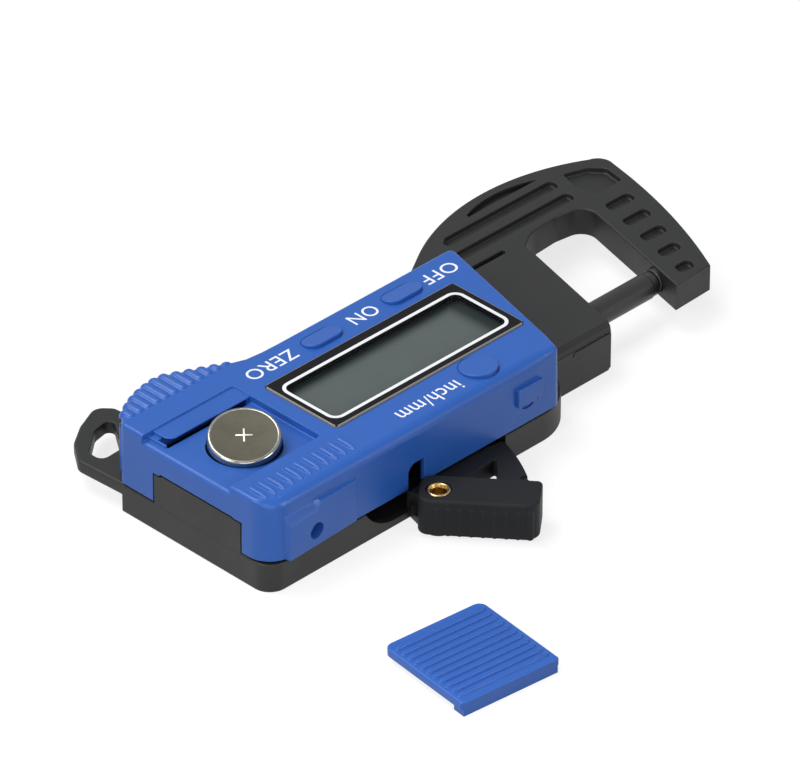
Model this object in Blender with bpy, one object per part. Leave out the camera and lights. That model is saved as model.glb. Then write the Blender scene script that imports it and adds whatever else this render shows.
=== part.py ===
"""Pocket digital thickness gauge with a thumb lever.

The gauge lies on its back. +X points along the display's reading direction, to the battery end, and
the jaw is at -X. +Y points to the thumb lever and +Z out of the display. The origin is on the flat
back of the frame, under the centre of the display. All sizes below are in millimetres.
"""

import math

import bmesh
import bpy
from mathutils import Matrix, Vector

MM = 0.001

# Clearances
SEAM = 0.2
FIT = 0.3
RUN = 0.15
CONTACT = 0.15

# Display stack, which sets the length and width of the case
LCD_LENGTH = 39.2
LCD_WIDTH = 14.0
LCD_THICK = 1.8
LENS_RIM_X = 1.1
LENS_RIM_Y = 0.9
LENS_LENGTH = LCD_LENGTH + 2 * LENS_RIM_X
LENS_WIDTH = LCD_WIDTH + 2 * LENS_RIM_Y
LENS_THICK = 1.15
LENS_PROUD = 0.3
LENS_CORNER = 0.9
LENS_CENTRE = (-0.2, 0.0)
WINDOW_RIM = 1.1
WINDOW_LENGTH = LCD_LENGTH - 2 * WINDOW_RIM
WINDOW_WIDTH = LCD_WIDTH - 2 * WINDOW_RIM
BOARD_THICK = 1.0
RUBBER_HEIGHT = 1.2
RUBBER_WIDTH = 1.6
RUBBER_INSET = 1.5
CHIP_R = 3.4
CHIP_HEIGHT = 0.9

# Case outline, seen from above
JAW_SLOPE = 0.26
CASE_JAW_X = LENS_CENTRE[0] - LENS_LENGTH / 2 - 3.7
RECESS_X = LENS_CENTRE[0] + LENS_LENGTH / 2 + 3.5
RECESS_LENGTH = 19.6
END_X = RECESS_X + RECESS_LENGTH
FAR_Y = -LENS_WIDTH / 2 - 7.7
NEAR_Y = LENS_WIDTH / 2 + 8.9
CASE_CORNER = 1.2
END_CORNER = 4.5
GRIP_START_X = END_X - 26.8
GRIP_PEAK_X = END_X - 12.6
GRIP_PEAK_Y = FAR_Y - 6.6
GRIP_MID = (END_X - 5.0, FAR_Y - 4.7)
GRIP_END_Y = FAR_Y - 0.6

# Spindle and anvil
SPINDLE_Y = 3.9
SPINDLE_Z = 6.3
SPINDLE_R = 2.2
ANVIL_R = SPINDLE_R - 0.2
ANVIL_RISE = 0.3
ANVIL_PROUD = 0.9
ANVIL_SEAT = 2.6
TIP_LENGTH = 1.2
TRAVEL = 12.7

# Heights, with the case stacked up over the spindle, the board and the display
FLOOR = 1.3
PARTING_Z = 5.2
JAW_UNDER_Z = 4.5
FRAME_TOP_Z = SPINDLE_Z + SPINDLE_R + 0.5
STRIP_LOW_Z = FRAME_TOP_Z
STRIP_THICK = 0.5
BOARD_Z = STRIP_LOW_Z + STRIP_THICK + 0.4
LCD_TOP_Z = BOARD_Z + BOARD_THICK + RUBBER_HEIGHT + LCD_THICK + 2 * SEAM
CASE_TOP_Z = LCD_TOP_Z + 2.2
CASE_WALL = 1.6
CASE_ROOF = 1.5
CASE_EDGE = 0.9
TRAY_WALL = 1.5

# Guide block and jaw arm
BLOCK_END_X = CASE_JAW_X - 16.9
BLOCK_NEAR_Y = SPINDLE_Y + 6.3
BLOCK_FAR_Y = FAR_Y + 1.9
BLOCK_REAR_X = CASE_JAW_X + 2.6
BLOCK_LOW_Z = 0.4
BLOCK_CHAMFER = 1.2
SHOULDER_X = CASE_JAW_X + 8.1
SHOULDER_R = 10.0
ARM_INNER_X = BLOCK_END_X - TRAVEL - 2.65
ARM_NEAR_Y = SPINDLE_Y + 6.0
ARM_NEAR_WIDTH = 8.3
ARM_OUTER_MID = (ARM_INNER_X - 13.35, FAR_Y + 6.8)
ARM_OUTER_END = (ARM_INNER_X - 16.75, FAR_Y - 7.0)
BOW_CORNER = (ARM_INNER_X - 16.65, FAR_Y - 9.3)
BOW_START = (ARM_INNER_X - 14.75, FAR_Y - 10.8)
BOW_MID = (ARM_INNER_X + 3.35, FAR_Y - 15.9)
BOW_END = (CASE_JAW_X - 5.9, FAR_Y - 9.8)
BOW_SHOULDER = (CASE_JAW_X + 3.1, FAR_Y - 4.4)
BOW_ROOT_X = CASE_JAW_X + 8.6
THROAT_Y = FAR_Y - 1.4
THROAT_BACK_Y = FAR_Y - 3.3
THROAT_CORNER = 2.6

# Recessed pockets in the top of the jaw
POCKET_DEPTH = 0.7
ARM_POCKETS = 5
ARM_POCKET_Y = FAR_Y + 0.7
ARM_POCKET_PITCH = 5.18
ARM_POCKET_WIDTH = 2.3
ARM_POCKET_INNER = 2.6
ARM_POCKET_OUTER = 2.9
BOW_POCKET_WIDTH = 2.3
BOW_POCKETS = {
    "pocket_bow_outer": (ARM_INNER_X - 5.75, CASE_JAW_X - 11.8, FAR_Y - 10.7),
    "pocket_bow_inner": (ARM_INNER_X - 5.05, CASE_JAW_X - 6.9, FAR_Y - 6.3),
    "pocket_bow_short": (BLOCK_END_X - 1.5, CASE_JAW_X - 5.9, FAR_Y - 2.1),
}
CRESCENT = (
    (ARM_INNER_X - 4.35, FAR_Y - 12.5),
    (ARM_INNER_X + 3.35, FAR_Y - 14.0),
    (ARM_INNER_X + 13.25, FAR_Y - 12.5),
)
CORNER_POCKET = [
    (ARM_INNER_X - 8.35, FAR_Y - 10.6, 0.6),
    (ARM_INNER_X - 12.75, FAR_Y - 9.0, 1.2),
    (ARM_INNER_X - 14.75, FAR_Y - 6.7, 1.2),
    (ARM_INNER_X - 14.05, FAR_Y - 2.5, 0.8),
    (ARM_INNER_X - 7.75, FAR_Y - 2.5, 1.2),
    (ARM_INNER_X - 7.15, FAR_Y - 6.4, 1.0),
]

# Thumb lever
PIVOT = (11.9, NEAR_Y + 4.9)
LEVER_LOW_Z = 1.7
LEVER_TOP_Z = 7.3
TRUSS_TOP_Z = 4.9
FINGER_TOP_Z = SPINDLE_Z - SPINDLE_R - 0.7
PAD_ANGLE = math.radians(129.5)
PAD_START = -3.4
PAD_END = 16.2
PAD_OUTER = 3.5
PAD_INNER = -3.9
GRIP_RIDGES = 8
GRIP_PITCH = 1.5
GRIP_RIDGE_R = 0.45
TRUSS_APEX = (PIVOT[0] - 18.5, NEAR_Y + 0.9)
TRUSS_BEAM = 2.5
TRUSS_WINDOW = [(3.8, TRUSS_BEAM), (13.2, TRUSS_BEAM), (6.9, TRUSS_BEAM + 4.6)]
FINGER_TIP_R = 1.1
FINGER_NECK = 0.9
FINGER_NECK_LENGTH = 4.0
FINGER_ROOT = 2.6
LUG_R = 3.0
LUG_TOP_Z = 1.4
RIVET_R = 1.45
RIVET_BORE_R = 1.15
RIVET_FLANGE_R = 1.85
RIVET_FLANGE = 0.3
COUNTERBORE_R = 2.1
COUNTERBORE = 0.6

# Carriage on the spindle
CARRIAGE_LENGTH = 7.8
CARRIAGE_HALF_WIDTH = SPINDLE_R + 1.1
CARRIAGE_LOW_Z = FINGER_TOP_Z + FIT
CARRIAGE_TOP_Z = FRAME_TOP_Z - 0.3
CARRIAGE_GRIP = 0.05
FORK_GAP = 3.2
FORK_LOW_Z = 1.8
FORK_REACH = 2.3
SPRING_Y = SPINDLE_Y - 8.1
SPRING_Z = 3.2
SPRING_R = 1.25
SPRING_WIRE_R = 0.22
SPRING_TURNS = 14
SPRING_TAIL = 1.6
POST_R = 0.7
POST_X = BLOCK_REAR_X + 2.5
POST_TOP_Z = 4.7
SPRING_ARM = 2.4
STRIP_LEAD = 13.6
STRIP_TAIL = 1.0
STRIP_FAR = 4.4
STRIP_NEAR = 3.2

# Buttons
BUTTON_PROUD = 0.4
BUTTON_LENGTH = 8.3
BUTTON_WIDTH = 3.7
ROUND_BUTTON_R = 3.2
BUTTON_RIM = 0.3
BUTTON_FLANGE = 0.9
BUTTON_STEM_R = 1.2
BUTTON_TRAVEL = 0.5
BUTTON_ROW = LENS_WIDTH / 2 + 3.6
BUTTON_OFF = (LENS_CENTRE[0] - 12.5, -BUTTON_ROW)
BUTTON_ON = (LENS_CENTRE[0] + 5.35, -BUTTON_ROW)
BUTTON_UNIT = (LENS_CENTRE[0] - 6.6, BUTTON_ROW)
DOME_R = 2.3
DOME_TOP_R = 1.1
DOME_HEIGHT = 0.6

# Battery compartment
RECESS_NEAR_Y = NEAR_Y - 8.9
RECESS_FAR_Y = FAR_Y + 4.0
RECESS_DEPTH = 1.5
RECESS_SLAB = 1.6
RAIL_WIDTH = 3.7
RAIL_DROP = 0.6
RAIL_END_X = END_X - 2.4
RAIL_SLOT = 0.8
CELL_R = 5.8
CELL_HEIGHT = 5.4
CELL_CAP = 0.35
CELL_CAP_INSET = 1.1
CELL_TILT = math.radians(15.0)
CELL_TILT_TO = math.radians(45.0)
POCKET_R = CELL_R + 0.9
POCKET_CENTRE = (RECESS_X + 8.8, (RECESS_NEAR_Y + RECESS_FAR_Y) / 2 + 2.25)
CELL_TOP = (POCKET_CENTRE[0] + 0.8, POCKET_CENTRE[1] + 0.4, CASE_TOP_Z + 1.3)
CUP_WALL = 1.0
CUP_LOW_Z = FRAME_TOP_Z - 0.1
CUP_FLOOR = 0.5
LEAF = 0.25
LEAF_WIDTH = 3.0
BOARD_REAR_X = RECESS_X - 1.0

# Ribs beside the battery compartment
NEAR_RIBS = 11
NEAR_RIB_FIRST_X = RECESS_X - 1.1
NEAR_RIB_LAST_X = END_X - 1.4
NEAR_RIB_PITCH = (NEAR_RIB_LAST_X - NEAR_RIB_FIRST_X) / (NEAR_RIBS - 1)
NEAR_RIB_WIDTH = 1.05
NEAR_RIB_PROUD = 0.35
NEAR_RIB_LOW_Y = NEAR_Y - 6.5
NEAR_RIB_HIGH_Y = NEAR_Y - 1.6
RIB_R = 0.5
SIDE_RIBS = 12
SIDE_RIB_FIRST_X = GRIP_START_X + 2.2
SIDE_RIB_LAST_X = END_X - 2.05
SIDE_RIB_PITCH = (SIDE_RIB_LAST_X - SIDE_RIB_FIRST_X) / (SIDE_RIBS - 1)
SIDE_RIB_INNER_Y = FAR_Y - 0.2

# Openings in the ends and sides of the case
END_NOTCH_LOW_Y = FAR_Y + 4.1
END_NOTCH_HIGH_Y = NEAR_Y - 8.4
END_NOTCH_Z = 10.2
LEVER_SLOT_X = PIVOT[0] - 19.9
LEVER_SLOT_FLAT_X = PIVOT[0] + 4.6
LEVER_SLOT_MID = (PIVOT[0] + 8.6, 2.6)
LEVER_SLOT_END_X = PIVOT[0] + 11.1
LEVER_SLOT_Z = 1.4
PIVOT_NOTCH_WIDTH = 3.5
PIVOT_NOTCH_Z = 9.9
PIVOT_NOTCH_R = 2.4
PANEL_LOW_X = END_X - 18.5
PANEL_HIGH_X = END_X - 3.2
PANEL_TOP_Z = 13.4
PANEL_PROUD_LOW = 0.4
PANEL_PROUD_HIGH = 1.0
PANEL_HOLE = (END_X - 9.5, 7.9)
PANEL_HOLE_R = 1.35
CATCH_LOW_X = CASE_JAW_X + 9.3
CATCH_HIGH_X = CASE_JAW_X + 14.9
CATCH_LOW_Z = 9.9
CATCH_TOP_Z = 13.4
CATCH_PROUD = 0.6

# Lanyard ear
EAR_THICK = 2.4
EAR_OUTLINE = [
    (END_X + 0.7, FAR_Y + 0.6, 0.0),
    (END_X + 0.7, FAR_Y - 10.2, 2.0),
    (END_X - 2.3, FAR_Y - 14.4, 3.0),
    (END_X - 6.2, FAR_Y - 17.1, 4.0),
    (END_X - 11.4, FAR_Y - 19.4, 2.2),
    (END_X - 13.6, FAR_Y - 17.0, 1.5),
    (END_X - 14.2, FAR_Y - 11.4, 3.0),
    (END_X - 16.1, FAR_Y - 5.8, 0.0),
]
EAR_HOLE = [
    (END_X - 2.2, FAR_Y - 7.8, 1.3),
    (END_X - 6.6, FAR_Y - 8.0, 1.8),
    (END_X - 11.7, FAR_Y - 15.4, 1.4),
    (END_X - 6.9, FAR_Y - 14.4, 2.0),
    (END_X - 2.2, FAR_Y - 10.6, 1.2),
]

# Screws from the back
SCREW_POINTS = {
    "case_screw_jaw_far": (CASE_JAW_X + 5.0, FAR_Y + 4.4),
    "case_screw_jaw_near": (CASE_JAW_X + 9.8, NEAR_Y - 4.4),
    "case_screw_end_near": (END_X - 5.0, NEAR_Y - 4.6),
    "case_screw_end_far": (END_X - 6.0, FAR_Y + 0.4),
}
SCREW_R = 1.0
SCREW_HEAD_R = 1.9
SCREW_HEAD = 1.3
SCREW_HEAD_LOW_Z = 0.3
SCREW_TIP_Z = 11.6
SCREW_SLOT = 1.2
SCREW_SLOT_WIDTH = 0.25
SCREW_SLOT_DEPTH = 0.7
BOSS_R = 1.9
FRAME_BOSS_R = 3.1

# Battery cover, lying beside the gauge
COVER_SIDE = 19.1
COVER_THICK = 1.4
COVER_CENTRE = (END_X - 9.2, PIVOT[1] + 29.4)
COVER_TURN = math.radians(-6.5)
COVER_CORNER = 1.5
COVER_RIBS = 11
COVER_RIB_MARGIN = 1.3
COVER_FIRST_RIB = 2.1
COVER_LAST_RIB = 1.8
COVER_LIP = 2.4
COVER_FOOT = 1.2

# Colours as linear red, green, blue
BLUE = (0.045, 0.145, 0.56)
BLACK = (0.018, 0.018, 0.019)
BOARD_GREEN = (0.02, 0.14, 0.06)
STEEL = (0.55, 0.55, 0.56)
BRASS = (0.72, 0.48, 0.16)
GOLD = (0.80, 0.62, 0.28)
GREY_GLASS = (0.22, 0.25, 0.23)
LENS_BLACK = (0.03, 0.03, 0.035)
RUBBER = (0.10, 0.10, 0.12)


def clear_scene():
    """Starts from an empty scene."""
    for item in list(bpy.data.objects):
        bpy.data.objects.remove(item, do_unlink=True)


def finish(name, colour, roughness, metallic=0.0):
    """One plain material with the part's colour, roughness and metal value."""
    made = bpy.data.materials.new(name)
    made.use_nodes = True
    shader = made.node_tree.nodes["Principled BSDF"]
    shader.inputs["Base Color"].default_value = (*colour, 1.0)
    shader.inputs["Roughness"].default_value = roughness
    shader.inputs["Metallic"].default_value = metallic
    return made


def paint(item, made, smooth=False):
    """Gives an object its material, and smooth shading where it is round."""
    item.data.materials.clear()
    item.data.materials.append(made)
    if smooth and item.type == "MESH":
        item.data.shade_smooth()
        item.data.set_sharp_from_angle(angle=math.radians(40))
    return item


def link(name, mesh):
    """A new object in the scene."""
    item = bpy.data.objects.new(name, mesh)
    bpy.context.scene.collection.objects.link(item)
    return item


def from_bmesh(name, shape):
    """Turns a bmesh in millimetres into an object in metres, with its faces pointing out."""
    bmesh.ops.recalc_face_normals(shape, faces=shape.faces)
    bmesh.ops.scale(shape, vec=(MM, MM, MM), verts=shape.verts)
    mesh = bpy.data.meshes.new(name)
    shape.to_mesh(mesh)
    shape.free()
    return link(name, mesh)


def arc(centre, radius, start, end, steps):
    """Points on an arc, with angles in degrees."""
    angles = [math.radians(start + (end - start) * i / steps) for i in range(steps + 1)]
    return [(centre[0] + radius * math.cos(a), centre[1] + radius * math.sin(a)) for a in angles]


def arc_through(first, middle, last, steps):
    """Points on the circular arc through three points."""
    ax, ay = first
    bx, by = middle
    cx, cy = last
    d = 2 * (ax * (by - cy) + bx * (cy - ay) + cx * (ay - by))
    a2 = ax * ax + ay * ay
    b2 = bx * bx + by * by
    c2 = cx * cx + cy * cy
    ox = (a2 * (by - cy) + b2 * (cy - ay) + c2 * (ay - by)) / d
    oy = (a2 * (cx - bx) + b2 * (ax - cx) + c2 * (bx - ax)) / d
    radius = math.hypot(ax - ox, ay - oy)
    start = math.degrees(math.atan2(ay - oy, ax - ox))
    end = math.degrees(math.atan2(cy - oy, cx - ox))
    turn = 1 if d > 0 else -1
    while (end - start) * turn <= 0:
        end += 360 * turn
    return arc((ox, oy), radius, start, end, steps)


def rounded(corners, steps=4):
    """A closed outline whose corners (x, y, radius) are replaced by arcs."""
    outline = []
    count = len(corners)
    for i, (x, y, radius) in enumerate(corners):
        here = Vector((x, y))
        before = Vector(corners[i - 1][:2])
        after = Vector(corners[(i + 1) % count][:2])
        to_before = (before - here).normalized()
        to_after = (after - here).normalized()
        cosine = max(-1.0, min(1.0, to_before.dot(to_after)))
        half = math.acos(cosine) / 2
        if radius <= 0 or half > math.radians(89.5):
            outline.append((x, y))
            continue
        reach = radius / math.tan(half)
        room = 0.49 * min((before - here).length, (after - here).length)
        if reach > room:
            reach = room
            radius = reach * math.tan(half)
        middle = here + (to_before + to_after).normalized() * (radius / math.sin(half))
        start = here + to_before * reach
        end = here + to_after * reach
        a0 = math.atan2(start.y - middle.y, start.x - middle.x)
        a1 = math.atan2(end.y - middle.y, end.x - middle.x)
        sweep = (a1 - a0 + math.pi) % (2 * math.pi) - math.pi
        for k in range(steps + 1):
            a = a0 + sweep * k / steps
            outline.append((middle.x + radius * math.cos(a), middle.y + radius * math.sin(a)))
    return outline


def grown(outline, distance):
    """The outline moved outwards by a distance, or inwards where it is negative."""
    area = sum(
        x0 * y1 - x1 * y0 for (x0, y0), (x1, y1) in zip(outline, outline[1:] + outline[:1])
    )
    side = 1 if area > 0 else -1
    moved = []
    for i, point in enumerate(outline):
        here = Vector(point)
        before = (here - Vector(outline[i - 1])).normalized()
        after = (Vector(outline[(i + 1) % len(outline)]) - here).normalized()
        normal_before = Vector((before.y, -before.x)) * side
        normal_after = Vector((after.y, -after.x)) * side
        joined = normal_before + normal_after
        scale = distance / max(0.3, joined.length_squared / 2)
        moved.append(tuple(here + joined * scale))
    return moved


def stadium(centre, length, width, steps=8):
    """A slot-shaped outline along X."""
    half = (length - width) / 2
    right = arc((centre[0] + half, centre[1]), width / 2, -90, 90, steps)
    left = arc((centre[0] - half, centre[1]), width / 2, 90, 270, steps)
    return right + left


def circle(centre, radius, sides=32):
    """A closed round outline."""
    return arc(centre, radius, 0, 360, sides)[:-1]


def rectangle(low_x, high_x, low_y, high_y, radius=0.0):
    """A rectangle with rounded corners."""
    corners = [(low_x, low_y), (high_x, low_y), (high_x, high_y), (low_x, high_y)]
    return rounded([(x, y, radius) for x, y in corners])


def prism(name, outline, low, high, top_edge=0.0, axis="Z", steps=2):
    """An outline extruded between two heights, with an optional rounded upper edge.

    Along Z the outline is (x, y). Along Y it is (x, z), and along X it is (y, z).
    """
    place = {
        "Z": lambda u, v, w: (u, v, w),
        "Y": lambda u, v, w: (u, w, v),
        "X": lambda u, v, w: (w, u, v),
    }[axis]
    shape = bmesh.new()
    ring = [shape.verts.new(place(u, v, low)) for u, v in outline]
    base = shape.faces.new(ring)
    raised = bmesh.ops.extrude_face_region(shape, geom=[base])
    top_verts = [item for item in raised["geom"] if isinstance(item, bmesh.types.BMVert)]
    shift = Vector(place(0, 0, high)) - Vector(place(0, 0, low))
    bmesh.ops.translate(shape, vec=shift, verts=top_verts)
    bmesh.ops.recalc_face_normals(shape, faces=shape.faces)
    if top_edge > 0:
        chosen = set(top_verts)
        rim = [e for e in shape.edges if e.verts[0] in chosen and e.verts[1] in chosen]
        bmesh.ops.bevel(
            shape, geom=rim, offset=top_edge, segments=steps, profile=0.5, affect="EDGES"
        )
    return from_bmesh(name, shape)


def rod(name, start, end, radius, sides=32, far_radius=None):
    """A round bar or cone between two points."""
    shape = bmesh.new()
    start, end = Vector(start), Vector(end)
    along = end - start
    bmesh.ops.create_cone(
        shape,
        cap_ends=True,
        segments=sides,
        radius1=radius,
        radius2=radius if far_radius is None else far_radius,
        depth=along.length,
    )
    turn = Vector((0, 0, 1)).rotation_difference(along.normalized()).to_matrix().to_4x4()
    place = Matrix.Translation((start + end) / 2) @ turn
    bmesh.ops.transform(shape, matrix=place, verts=shape.verts)
    return from_bmesh(name, shape)


def block(name, low, high):
    """A box between two corners."""
    outline = [(low[0], low[1]), (high[0], low[1]), (high[0], high[1]), (low[0], high[1])]
    return prism(name, outline, low[2], high[2])


def apply_tool(target, tool, operation):
    """Cuts or joins one shape with another, which stays as a hidden helper."""
    step = target.modifiers.new(operation.title(), "BOOLEAN")
    step.operation = operation
    step.object = tool
    step.solver = "EXACT"
    tool.hide_render = True
    tool.display_type = "WIRE"
    return target


def cut(target, *tools):
    """Removes each tool from the target."""
    for tool in tools:
        apply_tool(target, tool, "DIFFERENCE")
    return target


def join(target, *tools):
    """Adds each tool to the target."""
    for tool in tools:
        apply_tool(target, tool, "UNION")
    return target


def set_origin(item, point):
    """Moves an object's origin to a point in millimetres, with its shape left in place."""
    place = Vector(point) * MM
    item.data.transform(Matrix.Translation(-place))
    item.location = place
    return item


def hinge_point(name, point, *items):
    """An empty on a joint's axis that carries the moving pieces."""
    axis = link(name, None)
    axis.empty_display_size = 0.004
    axis.location = Vector(point) * MM
    bpy.context.view_layer.update()
    for item in items:
        item.parent = axis
        item.matrix_parent_inverse = axis.matrix_world.inverted()
    return axis


def jaw_line(x_at_centre, y):
    """X on one of the jaw's slanted lines at a given Y."""
    return x_at_centre + JAW_SLOPE * y


def grip_side():
    """The far side's swelling for the fingers, from the battery end to the straight side."""
    swell = arc_through((END_X, GRIP_END_Y), GRIP_MID, (GRIP_PEAK_X, GRIP_PEAK_Y), 7)
    return swell + [(GRIP_PEAK_X - 1.2, GRIP_PEAK_Y + 0.25), (GRIP_START_X, FAR_Y)]


def case_outline(offset=0.0):
    """The blue front case seen from above, grown by the offset or shrunk where it is negative."""
    square = [
        (jaw_line(CASE_JAW_X, FAR_Y), FAR_Y),
        (jaw_line(CASE_JAW_X, NEAR_Y), NEAR_Y),
        (END_X, NEAR_Y),
    ] + grip_side()
    moved = grown(square, offset) if offset else square
    radii = [CASE_CORNER, CASE_CORNER, END_CORNER] + [0.0] * (len(moved) - 3)
    least = 0.3
    return rounded(
        [(x, y, max(least, r + offset) if r else 0.0) for (x, y), r in zip(moved, radii)]
    )


def tray_hollow_outline():
    """The hollow of the tray seen from above, one wall inside its outline."""
    radius = SHOULDER_R - TRAY_WALL
    start = math.degrees(math.acos((BLOCK_REAR_X - SHOULDER_X) / radius))
    shoulder = arc((SHOULDER_X, NEAR_Y - SHOULDER_R), radius, start, 90, 5)
    corner = END_CORNER - TRAY_WALL
    end_corner = arc((END_X - END_CORNER, NEAR_Y - END_CORNER), corner, 90, 0, 4)
    side = grown(case_outline(), -TRAY_WALL)
    grip = [point for point in side if point[1] < FAR_Y + TRAY_WALL + 0.4 and point[0] > GRIP_START_X - 1]
    return shoulder + end_corner + grip + [(BLOCK_REAR_X, FAR_Y + TRAY_WALL)]


def tray_outline():
    """The frame's lower half seen from above, with its rounded shoulder beside the guide block."""
    block_corner = (jaw_line(BLOCK_END_X, BLOCK_NEAR_Y), BLOCK_NEAR_Y)
    far_corner = (jaw_line(BLOCK_END_X, FAR_Y), FAR_Y)
    shoulder_centre = (SHOULDER_X, NEAR_Y - SHOULDER_R)
    meet = math.degrees(math.asin((BLOCK_NEAR_Y - shoulder_centre[1]) / SHOULDER_R))
    shoulder = arc(shoulder_centre, SHOULDER_R, 180 - meet, 90, 6)
    end_corner = arc((END_X - END_CORNER, NEAR_Y - END_CORNER), END_CORNER, 90, 0, 4)
    corners = [
        (GRIP_START_X, FAR_Y, 0.0),
        (*far_corner, 3.0),
        (*block_corner, 0.8),
        (SHOULDER_X, BLOCK_NEAR_Y, 0.0),
    ]
    far = rounded(corners)[1:-1]
    return far + shoulder + end_corner + grip_side()


def jaw_outline():
    """The raised C-shaped jaw seen from above, open towards the lever side."""
    arm_inner_near = (jaw_line(ARM_INNER_X, ARM_NEAR_Y), ARM_NEAR_Y)
    arm_outer_near = (arm_inner_near[0] - ARM_NEAR_WIDTH, ARM_NEAR_Y - 0.3)
    outer = arc_through(arm_outer_near, ARM_OUTER_MID, ARM_OUTER_END, 8)
    corner = arc_through(ARM_OUTER_END, BOW_CORNER, BOW_START, 4)[1:]
    bow = arc_through(BOW_START, BOW_MID, BOW_END, 12)[1:]
    root = [BOW_SHOULDER, (BOW_ROOT_X, FAR_Y + 0.1), (BOW_ROOT_X, FAR_Y + 1.2)]
    inside_block = [
        (BLOCK_REAR_X - 2, FAR_Y + 1.2),
        (BLOCK_REAR_X - 2, BLOCK_FAR_Y + 2.5),
        (jaw_line(BLOCK_END_X, BLOCK_FAR_Y) + 1.0, BLOCK_FAR_Y + 2.5),
    ]
    throat = rounded(
        [
            (*inside_block[-1], 0.0),
            (jaw_line(BLOCK_END_X, THROAT_Y), THROAT_Y, 0.9),
            ((jaw_line(BLOCK_END_X, THROAT_Y) + jaw_line(ARM_INNER_X, THROAT_Y)) / 2 + 1, THROAT_BACK_Y, 0.0),
            (jaw_line(ARM_INNER_X, THROAT_BACK_Y + 0.8), THROAT_BACK_Y + 0.8, THROAT_CORNER),
            (*arm_inner_near, 0.3),
        ]
    )
    return outer + corner + bow + root + inside_block[:-1] + throat


def outer_arm_x(y):
    """X on the arm's outer curve at a given Y, from its three driving points."""
    points = arc_through(
        (jaw_line(ARM_INNER_X, ARM_NEAR_Y) - ARM_NEAR_WIDTH, ARM_NEAR_Y - 0.3),
        ARM_OUTER_MID,
        ARM_OUTER_END,
        24,
    )
    return min(points, key=lambda point: abs(point[1] - y))[0]


def jaw_pockets():
    """Cutters for the shallow pockets in the jaw's top."""
    low = FRAME_TOP_Z - POCKET_DEPTH
    high = FRAME_TOP_Z + 1
    made = []
    for i in range(ARM_POCKETS):
        y0 = ARM_POCKET_Y + i * ARM_POCKET_PITCH
        y1 = y0 + ARM_POCKET_WIDTH
        inner0 = jaw_line(ARM_INNER_X, y0) - ARM_POCKET_INNER
        inner1 = jaw_line(ARM_INNER_X, y1) - ARM_POCKET_INNER
        outer0 = outer_arm_x(y0) + ARM_POCKET_OUTER
        outer1 = outer_arm_x(y1) + ARM_POCKET_OUTER
        corners = [(outer0, y0, 0.9), (inner0, y0, 0.9), (inner1, y1, 0.9), (outer1, y1, 0.9)]
        made.append(prism(f"pocket_arm_{i + 1}", rounded(corners, 3), low, high))
    for name, (x0, x1, y0) in BOW_POCKETS.items():
        corners = [
            (x0, y0, 0.9),
            (x1 - 1.5, y0, 0.9),
            (x1, y0 + 1.0, 0.6),
            (x1, y0 + BOW_POCKET_WIDTH, 0.6),
            (x0 + 0.5, y0 + BOW_POCKET_WIDTH, 0.9),
        ]
        made.append(prism(name, rounded(corners, 3), low, high))
    crescent = arc_through(*CRESCENT, 8)
    made.append(prism("pocket_crescent", crescent, low, high))
    corner_pocket = rounded(CORNER_POCKET, 3)
    made.append(prism("pocket_corner", corner_pocket, low, high))
    return made


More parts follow.
